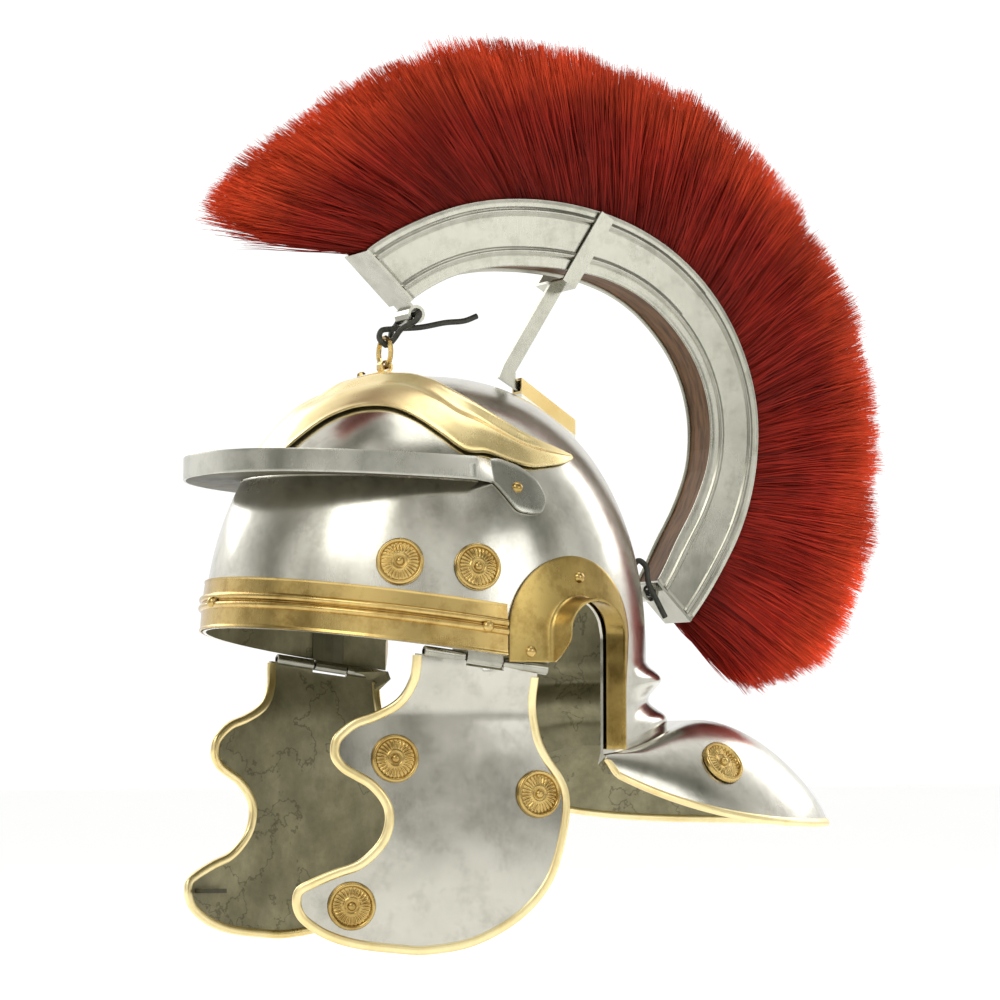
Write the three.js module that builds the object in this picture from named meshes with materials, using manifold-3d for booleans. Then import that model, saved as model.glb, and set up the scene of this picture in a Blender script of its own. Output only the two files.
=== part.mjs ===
// Roman legionary helmet: iron bowl with neck guard, brass trim, hinged cheek pieces and a horsehair crest.
// Millimetres, +Z up. The face looks along -Y and the wearer's left is +X. The origin is the middle of
// the head opening, level with the brow rim.
import * as THREE from 'three';
import { mergeVertices } from 'three/addons/utils/BufferGeometryUtils.js';
import Module from 'manifold-3d';

const wasm = await Module();
wasm.setup();

// Bowl
const bowlHalfWidth = 102;
const bowlHalfLength = 115.5;
const bowlHeight = 146;
const bowlCentreY = -4;
const bowlRoundness = 2.25;
const sheet = 1.6;
const gap = 0.4;
const rimSlope = 0.131;

// Nape and neck guard
const napeDrop = 37;
const napeCornerDrop = 47;
const napeFlare = 11.3;
const guardCornerDrop = 53.5;
const guardHalfWidth = 103;
const guardCornerInset = 11;
const guardLength = 167;
const guardRoundness = 2.35;
const guardFall = 29.5;
const guardDome = 23;

// Ear opening and ear guard
const earY = 35;
const earZ = 12;
const earRadius = 17.5;
const earFaceRadius = 38.5;
const earFaceShift = -2.5;
const earFlange = 13.5;
const earGuardFoot = -44.5;

// Brow band
const bandHeight = 24.8;
const bandThick = 1;
const beadHeight = 1.7;
const beadWidth = 3.4;

// Peak
const peakHalfWidth = bowlHalfWidth - 7;
const peakHalfLength = bowlHalfLength + 10.5;
const peakCentreY = -3;
const peakRoundness = 2.28;
const peakZ = bowlHeight - 59.7;
const peakSlope = 0.041;
const peakFlange = 11.5;
const peakSheet = 1.4;

// Eyebrow plate
const browPlateThick = 1.2;
const browPlateGap = 0.8;

// Cheek pieces
const cheekFrontY = -107;
const cheekLength = 137.6;
const cheekDrop = 143.6;
const cheekSheet = 1.5;
const cheekTopX = bowlHalfWidth - 3.5;
const cheekWrap = 24.5;
const cheekFold = 28;
const cheekFoldDepth = 5;
const cheekBelly = 2.5;
const trimWall = 0.9;
const trimDepth = 3;

// Cheek hinges
const hingeFrontY = -47.5;
const hingeRearY = 17;
const hingeFrontX = bowlHalfWidth - 8;
const hingeRearX = bowlHalfWidth - 3.9;
const hingeBelowRim = 3.2;
const knuckleRadius = 2.8;
const hingePinRadius = 1.1;
const pinClearance = 0.35;
const knuckleSplits = [0.333, 0.628];

// Rosettes and rivets
const rosetteRadius = 11.8;
const rosetteThick = 3.6;
const rivetRadius = 2.6;

// Crest box, an arc in the middle plane
const crestY = bowlHalfLength - 60.5;
const crestZ = bowlHeight - 31;
const crestRadius = 129;
const crestDepth = 35;
const crestHalfWidth = 13;
const crestPlate = 1.2;
const crestRib = 1.1;
const crestCap = 1.5;

// Hair
const hairRadius = 211;
const hairFrontAngle = 148;
const hairRearAngle = -45;
const hairHalfWidth = 20;
const hairLocks = 22;

// Fork, socket, hook and ties
const forkTopY = crestY + 38.2;
const forkTopZ = crestZ + 118.3;
const forkKneeY = crestY - 12.7;
const forkKneeZ = crestZ + 36;
const forkStrip = 8.4;
const forkSheet = 1.6;
const stalkWidth = 7.4;
const stalkThick = 3;
const socketHalfWidth = 5.5;
const socketWall = 1.3;
const socketFrontY = crestY - 7;
const socketRearY = crestY + 24.2;
const socketFrontZ = crestZ + 32.6;
const socketRearZ = crestZ + 11.8;
const hookHalfWidth = 4;
const hookThick = 1.2;
const ringRadius = 7.7;
const ringWire = 1.3;
const eyeRadius = 4.8;
const eyeBore = 3.2;
const eyeHalfLength = 8.5;
const cordRadius = 1.5;
const stapleRadius = 5;

const steel = new THREE.MeshStandardMaterial({ color: 0xb9bab6, roughness: 0.22, metalness: 1 });
const brass = new THREE.MeshStandardMaterial({ color: 0xc9a24b, roughness: 0.28, metalness: 1 });
const wood = new THREE.MeshStandardMaterial({ color: 0x8a5a34, roughness: 0.7, metalness: 0 });
const hair = new THREE.MeshStandardMaterial({ color: 0xb02417, roughness: 0.75, metalness: 0 });
const cord = new THREE.MeshStandardMaterial({ color: 0x2b2a1f, roughness: 0.8, metalness: 0 });

const helmet = new THREE.Group();
helmet.name = 'roman_legionary_helmet';

const rad = THREE.MathUtils.degToRad;
const lerp = THREE.MathUtils.lerp;
const clamp = THREE.MathUtils.clamp;
const smooth = THREE.MathUtils.smoothstep;
const vec = (x, y, z) => new THREE.Vector3(x, y, z);

// Solids from point grids

function solidFrom(points, triangles) {
  const geometry = new THREE.BufferGeometry();
  geometry.setAttribute('position', new THREE.Float32BufferAttribute(points.flatMap((p) => [p.x, p.y, p.z]), 3));
  geometry.setIndex(triangles.flat());
  return outward(geometry);
}

function outward(source) {
  const plain = source.clone();
  plain.deleteAttribute('normal');
  plain.deleteAttribute('uv');
  const geometry = mergeVertices(plain, 1e-5);
  const position = geometry.getAttribute('position');
  const index = geometry.getIndex().array;
  const kept = [];
  let volume = 0;
  const corner = [vec(), vec(), vec()];
  for (let i = 0; i < index.length; i += 3) {
    const [a, b, c] = [index[i], index[i + 1], index[i + 2]];
    if (a === b || b === c || c === a) continue;
    kept.push(a, b, c);
    [a, b, c].forEach((v, k) => corner[k].fromBufferAttribute(position, v));
    volume += corner[0].dot(corner[1].clone().cross(corner[2]));
  }
  if (volume < 0) {
    for (let i = 0; i < kept.length; i += 3) {
      [kept[i + 1], kept[i + 2]] = [kept[i + 2], kept[i + 1]];
    }
  }
  geometry.setIndex(kept);
  return geometry;
}

// A ring of points swept through stations, capped at both ends by the flat outline of the ring
function sweep(rings, outline) {
  const size = rings[0].length;
  const triangles = [];
  for (let i = 0; i + 1 < rings.length; i += 1) {
    for (let j = 0; j < size; j += 1) {
      const next = (j + 1) % size;
      const [a, b, c, d] = [i * size + j, i * size + next, (i + 1) * size + j, (i + 1) * size + next];
      triangles.push([a, b, d], [a, d, c]);
    }
  }
  const flat = outline.map(([u, v]) => new THREE.Vector2(u, v));
  const last = (rings.length - 1) * size;
  const turned = THREE.ShapeUtils.area(flat) > 0;
  for (const [a, b, c] of THREE.ShapeUtils.triangulateShape(flat, [])) {
    triangles.push(turned ? [a, c, b] : [a, b, c]);
    triangles.push(turned ? [last + a, last + b, last + c] : [last + a, last + c, last + b]);
  }
  return solidFrom(rings.flat(), windCaps(triangles, rings.length - 1, size));
}

// The walls run with the ring, so caps that disagree with them are turned over
function windCaps(triangles, spans, size) {
  const walls = spans * size * 2;
  const edge = new Set();
  for (const [a, b, c] of triangles.slice(0, walls)) {
    edge.add(`${a},${b}`).add(`${b},${c}`).add(`${c},${a}`);
  }
  return triangles.map(([a, b, c], i) => {
    const clash = edge.has(`${a},${b}`) || edge.has(`${b},${c}`) || edge.has(`${c},${a}`);
    return i >= walls && clash ? [a, c, b] : [a, b, c];
  });
}

// A sheet between two point grids of the same size
function slab(front, back) {
  const rows = front.length;
  const columns = front[0].length;
  const at = (side, i, j) => side * rows * columns + i * columns + j;
  const triangles = [];
  const quad = (a, b, c, d) => triangles.push([a, b, c], [a, c, d]);
  for (let i = 0; i + 1 < rows; i += 1) {
    for (let j = 0; j + 1 < columns; j += 1) {
      quad(at(0, i, j), at(0, i, j + 1), at(0, i + 1, j + 1), at(0, i + 1, j));
      quad(at(1, i, j), at(1, i + 1, j), at(1, i + 1, j + 1), at(1, i, j + 1));
    }
    quad(at(0, i, 0), at(0, i + 1, 0), at(1, i + 1, 0), at(1, i, 0));
    quad(at(0, i + 1, columns - 1), at(0, i, columns - 1), at(1, i, columns - 1), at(1, i + 1, columns - 1));
  }
  for (let j = 0; j + 1 < columns; j += 1) {
    quad(at(0, 0, j + 1), at(0, 0, j), at(1, 0, j), at(1, 0, j + 1));
    quad(at(0, rows - 1, j), at(0, rows - 1, j + 1), at(1, rows - 1, j + 1), at(1, rows - 1, j));
  }
  return solidFrom([...front.flat(), ...back.flat()], triangles);
}

// Joining and cutting

function toSolid(geometry) {
  const position = geometry.getAttribute('position').array;
  const index = geometry.getIndex().array;
  const mesh = new wasm.Mesh({
    numProp: 3,
    vertProperties: Float32Array.from(position),
    triVerts: Uint32Array.from(index),
  });
  return new wasm.Manifold(mesh);
}

function toGeometry(solid) {
  const mesh = solid.getMesh();
  const geometry = new THREE.BufferGeometry();
  geometry.setAttribute('position', new THREE.Float32BufferAttribute(Float32Array.from(mesh.vertProperties), 3));
  geometry.setIndex(Array.from(mesh.triVerts));
  return outward(geometry);
}

function join(...pieces) {
  return toGeometry(pieces.map(toSolid).reduce((whole, piece) => whole.add(piece)));
}

function cut(body, ...tools) {
  return toGeometry(tools.map(toSolid).reduce((whole, tool) => whole.subtract(tool), toSolid(body)));
}

function shared(body, tool) {
  return toGeometry(toSolid(body).intersect(toSolid(tool)));
}

function mirrored(geometry) {
  return outward(geometry.clone().scale(-1, 1, 1));
}

function add(name, geometry, material) {
  const mesh = new THREE.Mesh(geometry, material);
  mesh.name = name;
  helmet.add(mesh);
  return mesh;
}

// A (y, z) outline drawn through from x = low to x = high
function acrossX(outline, low, high) {
  const shape = new THREE.Shape(outline.map(([y, z]) => new THREE.Vector2(y, z)));
  const geometry = new THREE.ExtrudeGeometry(shape, { depth: high - low, bevelEnabled: false });
  const axes = new THREE.Matrix4().makeBasis(vec(0, 1, 0), vec(0, 0, 1), vec(1, 0, 0));
  geometry.applyMatrix4(axes);
  geometry.translate(low, 0, 0);
  return outward(geometry);
}

function tubeAlong(points, radius, sides, steps) {
  const corners = Array.from({ length: sides }, (_, i) => {
    const turn = (2 * Math.PI * i) / sides;
    return new THREE.Vector2(radius * Math.cos(turn), radius * Math.sin(turn));
  });
  const path = new THREE.CatmullRomCurve3(points.map((p) => vec(...p)));
  return outward(new THREE.ExtrudeGeometry(new THREE.Shape(corners), { steps, extrudePath: path }));
}

// A round piece turned about the line from a to b; the profile is (radius, share of the length)
function turned(a, b, profile, sides) {
  const length = a.distanceTo(b);
  const lathe = new THREE.LatheGeometry(profile.map(([r, t]) => new THREE.Vector2(r, t * length)), sides);
  const turn = new THREE.Quaternion().setFromUnitVectors(vec(0, 1, 0), b.clone().sub(a).normalize());
  lathe.applyQuaternion(turn);
  lathe.translate(a.x, a.y, a.z);
  return outward(lathe);
}

function hollowTube(a, b, outer, inner, sides) {
  return turned(a, b, [[inner, 0], [outer, 0], [outer, 1], [inner, 1], [inner, 0]], sides);
}

function rod(a, b, radius, sides) {
  return turned(a, b, [[0, 0], [radius, 0], [radius, 1], [0, 1]], sides);
}

// Bowl surface: a squared dome on an oval plan

function domeShare(z) {
  const height = clamp(z / bowlHeight, 0, 1);
  return (1 - height ** bowlRoundness) ** (1 / bowlRoundness);
}

function domeNormal(p) {
  const across = p.x / bowlHalfWidth ** 2;
  const along = (p.y - bowlCentreY) / bowlHalfLength ** 2;
  const share = Math.hypot(p.x / bowlHalfWidth, (p.y - bowlCentreY) / bowlHalfLength);
  const lift = p.z > 0 ? (p.z / bowlHeight) ** (bowlRoundness - 1) / bowlHeight : 0;
  const level = Math.max(share, 1e-6) ** (bowlRoundness - 2);
  return vec(level * across, level * along, lift).normalize();
}

// A point on the dome at a bearing from the front (degrees, + to the wearer's left) and a height
function onDome(bearing, z, out = 0) {
  const share = domeShare(z);
  const x = bowlHalfWidth * share * Math.sin(rad(bearing));
  const y = bowlCentreY - bowlHalfLength * share * Math.cos(rad(bearing));
  const p = vec(x, y, z);
  return p.addScaledVector(domeNormal(p), out);
}

// The same surface seen from the side, by y and z
function onDomeSide(y, z, out = 0) {
  const share = domeShare(z);
  const along = clamp((y - bowlCentreY) / (bowlHalfLength * share), -1, 1);
  const p = vec(bowlHalfWidth * share * Math.sqrt(1 - along * along), y, z);
  return p.addScaledVector(domeNormal(p), out);
}

const rimZ = (y) => -rimSlope * y;
const earRearY = earY + earRadius;
const cornerBearing = THREE.MathUtils.radToDeg(Math.acos((bowlCentreY - earRearY) / bowlHalfLength)) - 1;

// Nape folds, as shares of the nape's drop and of its flare
const napeFolds = [
  { drop: 0.13, flare: 0.66 },
  { drop: 0.3, flare: 0.52 },
  { drop: 0.48, flare: 0.12 },
  { drop: 0.62, flare: 0.5 },
  { drop: 0.77, flare: 0.95 },
  { drop: 0.9, flare: 0.9 },
  { drop: 1, flare: 1 },
];
const guardRows = [0.16, 0.38, 0.62, 0.84, 1];

function guardRim(bearing) {
  const share = clamp((bearing - cornerBearing) / (180 - cornerBearing), 0, 1);
  const turn = (share * Math.PI) / 2;
  const inset = guardCornerInset * (1 - Math.min(1, share / 0.45)) ** 2;
  const x = (guardHalfWidth - inset) * Math.abs(Math.cos(turn)) ** (2 / guardRoundness);
  const back = Math.sin(turn) ** (2 / guardRoundness);
  const y = earRearY - 2 + guardLength * back;
  return vec(x, y, -guardCornerDrop - guardFall * (1 - (1 - back) ** 3));
}

function bowlColumn(bearing) {
  const column = [];
  const domeRows = 9;
  for (let i = 1; i <= domeRows; i += 1) {
    const lift = Math.cos((Math.PI / 2) * (i / domeRows));
    column.push(onDome(bearing, bowlHeight * lift ** (2 / bowlRoundness)));
  }
  const rear = smooth(bearing, cornerBearing + 9, cornerBearing + 36);
  const creaseDrop = lerp(napeCornerDrop, napeDrop, rear);
  for (const { drop, flare } of napeFolds) {
    const p = onDome(bearing, 0, napeFlare * flare * rear);
    column.push(vec(p.x, p.y, -creaseDrop * drop));
  }
  const crease = column[column.length - 1];
  const rim = bearing < cornerBearing ? vec(crease.x, crease.y, -guardCornerDrop - 8) : guardRim(bearing);
  const reach = Math.hypot(rim.x - crease.x, rim.y - crease.y);
  for (const row of guardRows) {
    const p = crease.clone().lerp(rim, row);
    p.z += guardDome * Math.min(1, reach / 85) * (4 * row * (1 - row)) ** 0.7;
    column.push(p);
  }
  return column;
}

const frontBearings = Array.from({ length: 17 }, (_, i) => (cornerBearing * i) / 16);
const rearBearings = Array.from({ length: 10 }, (_, i) => lerp(cornerBearing, 180, (i + 1) / 10));
const halfBearings = [...frontBearings, ...rearBearings];

function sheetNormals(columns) {
  const count = columns.length;
  return columns.map((column, i) => column.map((p, j) => {
    const ahead = columns[(i + 1) % count][j].clone().sub(columns[(i + count - 1) % count][j]);
    const down = column[Math.min(j + 1, column.length - 1)].clone().sub(column[Math.max(j - 1, 0)]);
    return down.cross(ahead).normalize();
  }));
}

function makeBowl() {
  const left = halfBearings.map(bowlColumn);
  const right = left.slice(1, -1).reverse().map((column) => column.map((p) => vec(-p.x, p.y, p.z)));
  const columns = [...left, ...right];
  const normals = sheetNormals(columns);
  const facing = Math.sign(normals[0][5].dot(vec(0, -1, 0)));
  const inner = columns.map((column, i) => column.map((p, j) => (
    p.clone().addScaledVector(normals[i][j], -sheet * facing))));
  const rows = columns[0].length;
  const points = [vec(0, bowlCentreY, bowlHeight)];
  const ringOf = [];
  for (let j = 0; j < rows; j += 1) {
    ringOf.push(points.length);
    columns.forEach((column) => points.push(column[j]));
  }
  for (let j = rows - 1; j >= 0; j -= 1) {
    ringOf.push(points.length);
    inner.forEach((column) => points.push(column[j]));
  }
  points.push(vec(0, bowlCentreY, bowlHeight - sheet));
  const count = columns.length;
  const triangles = [];
  for (let i = 0; i < count; i += 1) {
    const next = (i + 1) % count;
    triangles.push([0, ringOf[0] + i, ringOf[0] + next]);
    for (let k = 0; k + 1 < ringOf.length; k += 1) {
      const [a, b] = [ringOf[k] + i, ringOf[k] + next];
      const [c, d] = [ringOf[k + 1] + i, ringOf[k + 1] + next];
      triangles.push([a, c, d], [a, d, b]);
    }
    const lastRing = ringOf[ringOf.length - 1];
    triangles.push([points.length - 1, lastRing + next, lastRing + i]);
  }
  const shell = solidFrom(points, triangles);
  const side = bowlHalfWidth * 2;
  const low = -napeCornerDrop * 3;
  const front = bowlCentreY - bowlHalfLength * 1.3;
  const mouth = [[front, rimZ(front)], [front, low], [earRearY, low]];
  for (let i = 0; i <= 12; i += 1) {
    const turn = (Math.PI * i) / 12;
    mouth.push([earY + earRadius * Math.cos(turn), earZ + earRadius * Math.sin(turn)]);
  }
  mouth.push([earY - earRadius, rimZ(earY - earRadius)]);
  return cut(shell, acrossX(mouth, -side, side));
}

add('bowl', makeBowl(), steel);

// A folded trim around a sheet's edge; d points out of the sheet and n across it
function trimRing(middle, d, n, thick) {
  const slot = thick / 2 + 0.6;
  const wall = slot + trimWall;
  const outline = [
    [-trimDepth, slot], [-trimDepth * 0.7, wall], [0.1, wall * 0.95], [0.35 + trimWall, 0],
    [0.1, -wall * 0.95], [-trimDepth * 0.7, -wall], [-trimDepth, -slot], [0.35, -slot], [0.35, slot],
  ];
  const ring = outline.map(([u, v]) => middle.clone().addScaledVector(d, u).addScaledVector(n, v));
  return { ring, outline };
}

function makeNeckEdging() {
  const bearings = rearBearings.filter((b) => guardRim(b).y > earRearY + 1);
  const startShare = 0.2;
  const columns = bearings.map(bowlColumn);
  const first = bowlColumn(bearings[0] - (bearings[1] - bearings[0]));
  const start = first.map((p, j) => p.clone().lerp(columns[0][j], startShare));
  const left = [start, ...columns];
  const right = left.slice(0, -1).reverse().map((column) => column.map((p) => vec(-p.x, p.y, p.z)));
  const path = [...left, ...right];
  const rings = [];
  let outline = null;
  path.forEach((column, i) => {
    const rim = column[column.length - 1];
    const inboard = column[column.length - 2];
    const along = path[Math.min(i + 1, path.length - 1)].at(-1).clone().sub(path[Math.max(i - 1, 0)].at(-1));
    const d = rim.clone().sub(inboard).normalize();
    const n = d.clone().cross(along).normalize();
    if (n.z < 0) n.negate();
    const middle = rim.clone().addScaledVector(n, -sheet / 2);
    const made = trimRing(middle, d, n, sheet);
    outline = made.outline;
    rings.push(made.ring);
  });
  return sweep(rings, outline);
}

add('neck_guard_edging', makeNeckEdging(), brass);

// Brow band: a flat strip along the rim with two half-round beads
function makeBrowBand() {
  const beads = [0.46, 0.63].map((share) => share * bandHeight);
  const outline = [[0, 0], [bandThick, 0]];
  for (const centre of beads) {
    outline.push([bandThick, centre - beadWidth / 2], [bandThick + beadHeight, centre]);
  }
  outline.push([bandThick, beads[1] + beadWidth / 2], [bandThick, bandHeight], [0, bandHeight]);
  outline.push([0, bandHeight / 2]);
  const half = frontBearings.filter((bearing) => onDome(bearing, 0).y < earY + earFaceShift - earFaceRadius);
  const bearings = [...half.slice(1).map((bearing) => -bearing).reverse(), ...half];
  const rings = bearings.map((bearing) => {
    const base = onDome(bearing, 0).y;
    return outline.map(([out, up]) => onDome(bearing, rimZ(base) + 0.3 + up, gap + out));
  });
  return sweep(rings, outline);
}

add('brow_band', makeBrowBand(), brass);

// Peak: an upright flange round the front, a shelf to the bowl, and a leaf riveted to each temple
const peakBase = (y) => peakZ - peakSlope * y;

function peakPlan(bearing, inset = 0) {
  const c = Math.cos(rad(bearing));
  const s = Math.sin(rad(bearing));
  const power = 2 / peakRoundness;
  const x = (peakHalfWidth - inset) * Math.sign(s) * Math.abs(s) ** power;
  const y = peakCentreY - (peakHalfLength - inset) * Math.sign(c) * Math.abs(c) ** power;
  return vec(x, y, peakBase(y));
}

// Temple leaf stations: y, middle height above the peak's base, and half its height, as shares of the flange
const leafStations = [
  { y: -7, middle: 0.45, half: 0.5 },
  { y: -2, middle: 0.2, half: 0.8 },
  { y: 3, middle: -0.12, half: 1.02 },
  { y: 9, middle: -0.28, half: 1 },
  { y: 14, middle: -0.42, half: 0.85 },
  { y: 18, middle: -0.52, half: 0.6 },
  { y: 20.5, middle: -0.58, half: 0.3 },
];
const leafEndY = leafStations[leafStations.length - 1].y;
const peakSideBearing = 84;

function makePeak() {
  const outline = [[0, 0], [1, 0], [1, 1], [1, 2], [0, 2], [0, 1]];
  const front = [];
  const shelfOuter = [];
  const shelfInner = [];
  const steps = 22;
  for (let i = 0; i <= steps; i += 1) {
    const bearing = lerp(-peakSideBearing, peakSideBearing, i / steps);
    const outer = peakPlan(bearing);
    const inner = peakPlan(bearing, peakSheet);
    const lifted = (p, share) => p.clone().setZ(p.z + peakFlange * share);
    front.push([inner, outer, lifted(outer, 0.5), lifted(outer, 1), lifted(inner, 1), lifted(inner, 0.5)]);
    shelfOuter.push(peakPlan(bearing, peakSheet / 2));
    const wall = onDome(bearing, peakBase(outer.y), gap + 0.1);
    shelfInner.push(wall.setZ(shelfOuter[i].z));
  }
  const leaf = leafStations.map(({ y, middle, half }) => {
    const centre = peakBase(y) + middle * peakFlange;
    const reach = half * peakFlange;
    const wall = (level, out) => onDomeSide(y, centre + level * reach, gap + out);
    return [wall(-1, 0), wall(-1, peakSheet), wall(0, peakSheet), wall(1, peakSheet), wall(1, 0), wall(0, 0)];
  });
  const flip = (ring) => ring.map((p) => vec(-p.x, p.y, p.z));
  const flange = sweep([...leaf.map(flip).reverse(), ...front, ...leaf], outline);
  const shelfRows = [shelfOuter, shelfInner];
  const raised = shelfRows.map((row) => row.map((p) => p.clone().setZ(p.z + peakSheet)));
  return join(flange, slab(shelfRows, raised));
}

add('peak', makePeak(), steel);

// Eyebrow plate: bearing, lower and upper edge as shares of the bowl's height
const browPlateStations = [
  { bearing: 0, low: 0.685, high: 0.969 },
  { bearing: 13, low: 0.69, high: 0.974 },
  { bearing: 18, low: 0.745, high: 0.976 },
  { bearing: 25, low: 0.81, high: 0.978 },
  { bearing: 34, low: 0.846, high: 0.98 },
  { bearing: 45, low: 0.857, high: 0.978 },
  { bearing: 56, low: 0.845, high: 0.975 },
  { bearing: 66, low: 0.805, high: 0.964 },
  { bearing: 74, low: 0.75, high: 0.948 },
  { bearing: 81, low: 0.695, high: 0.918 },
  { bearing: 88, low: 0.69, high: 0.878 },
  { bearing: 95, low: 0.665, high: 0.83 },
  { bearing: 102, low: 0.648, high: 0.782 },
  { bearing: 110, low: 0.656, high: 0.745 },
  { bearing: 117, low: 0.668, high: 0.722 },
  { bearing: 124, low: 0.688, high: 0.7 },
];
const browRidges = [{ row: 0, rise: 0 }, { row: 0.22, rise: 0.4 }, { row: 0.42, rise: 1.7 },
  { row: 0.56, rise: 0.7 }, { row: 0.74, rise: 2 }, { row: 1, rise: 0.2 }];

function makeBrowPlate() {
  const stations = [...browPlateStations.slice(1).map((s) => ({ ...s, bearing: -s.bearing })).reverse(),
    ...browPlateStations];
  const slope = (share) => Math.asin(share ** (bowlRoundness / 2));
  const level = (turn) => bowlHeight * Math.sin(turn) ** (2 / bowlRoundness);
  const rowsAt = (lift) => browRidges.map(({ row, rise }) => stations.map(({ bearing, low, high }) => {
    const turn = lerp(slope(low), slope(high), row);
    const narrow = Math.min(1, (high - low) / 0.12);
    return onDome(bearing, level(turn), browPlateGap + (lift ? browPlateThick + rise * narrow : 0));
  }));
  return slab(rowsAt(1), rowsAt(0));
}

add('eyebrow_plate', makeBrowPlate(), brass);

// Ear guard: a face on the bowl round the ear opening and a flange standing out from its edge
function earStations() {
  const stations = [];
  const footZ = rimZ(earY - earRadius) + 0.4;
  const legSteps = 2;
  for (let i = 0; i < legSteps; i += 1) {
    const z = lerp(footZ, earZ, i / legSteps);
    stations.push({
      root: [earY - earRadius, z],
      edge: [earY + earFaceShift - earFaceRadius, z],
      inward: [1, 0],
      lean: 22,
      flange: earFlange * lerp(0.3, 1, i / legSteps),
    });
  }
  const arcSteps = 12;
  for (let i = 0; i <= arcSteps; i += 1) {
    const turn = Math.PI * (1 - i / arcSteps);
    const [c, s] = [Math.cos(turn), Math.sin(turn)];
    stations.push({
      root: [earY + earRadius * c, earZ + earRadius * s],
      edge: [earY + earFaceShift + earFaceRadius * c, earZ + earFaceRadius * s],
      inward: [-c, -s],
      lean: lerp(22, 0, i / arcSteps),
      flange: earFlange,
    });
  }
  const rearSteps = 2;
  for (let i = 1; i <= rearSteps; i += 1) {
    const z = lerp(earZ, earGuardFoot, i / rearSteps);
    const narrow = lerp(1, 0.72, i / rearSteps);
    stations.push({
      root: [earRearY, z],
      edge: [earRearY + (earFaceShift + earFaceRadius - earRadius) * narrow, z],
      inward: [-1, 0],
      lean: 0,
      flange: earFlange,
    });
  }
  return stations;
}

function makeEarGuard() {
  const thick = 1.2;
  const outline = [[0, 0], [20, 0], [20, 1], [1, 1], [1, 12], [0, 12]];
  const rings = earStations().map(({ root, edge, inward, lean, flange }) => {
    const seat = gap + 0.3;
    const r = onDomeSide(root[0], root[1], seat);
    const normal = domeNormal(onDomeSide(root[0], root[1]));
    const toward = vec(0, inward[0], inward[1]);
    toward.addScaledVector(normal, -toward.dot(normal)).normalize();
    const rise = normal.clone().multiplyScalar(Math.cos(rad(lean)));
    rise.addScaledVector(toward, Math.sin(rad(lean)));
    const away = toward.clone().multiplyScalar(-thick);
    const face = onDomeSide(edge[0], edge[1], seat);
    const faceTop = onDomeSide(edge[0], edge[1], seat + thick);
    const bend = r.clone().add(away).addScaledVector(normal, thick);
    return [r, face, faceTop, bend, r.clone().add(away).addScaledVector(rise, flange),
      r.clone().addScaledVector(rise, flange)];
  });
  return sweep(rings, outline);
}

const earGuard = makeEarGuard();
add('ear_guard_left', earGuard, brass);
add('ear_guard_right', mirrored(earGuard), brass);

// Cheek plate surface, by y and z
function cheekX(y, z) {
  const wrap = clamp((cheekFrontY + cheekLength - 12 - y) / cheekLength, 0, 1.2);
  const fold = clamp(-z / cheekFold, 0, 1);
  const belly = clamp((-z - cheekFold) / (cheekDrop - cheekFold), 0, 1);
  const rear = Math.max(0, y - (cheekFrontY + cheekLength - 12));
  return cheekTopX - cheekWrap * 1.2 * wrap ** 2.6 - cheekFoldDepth * smooth(fold, 0, 1)
    + cheekBelly * Math.sin(Math.PI * belly) - 0.004 * rear * rear;
}

const hingeZ = (y) => rimZ(y) - hingeBelowRim;
const hingeX = (y) => lerp(hingeFrontX, hingeRearX, (y - hingeFrontY) / (hingeRearY - hingeFrontY));
const hingePoint = (share) => {
  const y = lerp(hingeFrontY, hingeRearY, share);
  return vec(hingeX(y), y, hingeZ(y));
};

// Cheek outline from the front of the hinge down, round the two lobes and up the back edge:
// shares of the plate's length back from its front tip and of its drop
const cheekKnots = [
  [0.393, 0.05], [0.371, 0.11], [0.337, 0.15], [0.27, 0.185], [0.204, 0.208], [0.157, 0.242],
  [0.128, 0.279], [0.1235, 0.336], [0.154, 0.382], [0.2, 0.411], [0.247, 0.439], [0.2885, 0.486],
  [0.304, 0.533], [0.294, 0.59], [0.264, 0.6365], [0.209, 0.683], [0.1345, 0.71], [0.06, 0.743],
  [0.012, 0.772], [0, 0.812], [0.0085, 0.858], [0.0385, 0.898], [0.112, 0.945], [0.2145, 0.977],
  [0.359, 0.995], [0.4595, 1], [0.6125, 0.979], [0.749, 0.924], [0.856, 0.85], [0.933, 0.756],
  [0.976, 0.643], [1, 0.527], [0.9955, 0.452], [0.967, 0.394], [0.924, 0.336], [0.893, 0.278],
  [0.8785, 0.212], [0.87, 0.135], [0.871, 0.085],
];
const cheekPoint = (along, down) => [cheekFrontY + cheekLength * along, -cheekDrop * down];

function cheekEdge() {
  const knots = cheekKnots.map(([a, d]) => new THREE.Vector2(...cheekPoint(a, d)));
  const curve = new THREE.SplineCurve(knots);
  const samples = curve.getSpacedPoints(38);
  const inset = trimWall + 0.35;
  return samples.map((p, i) => {
    const before = samples[Math.max(0, i - 1)];
    const after = samples[Math.min(samples.length - 1, i + 1)];
    const run = after.clone().sub(before).normalize();
    const out = new THREE.Vector2(run.y, -run.x);
    return { y: p.x - out.x * inset, z: p.y - out.y * inset, outY: out.x, outZ: out.y };
  });
}

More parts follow.
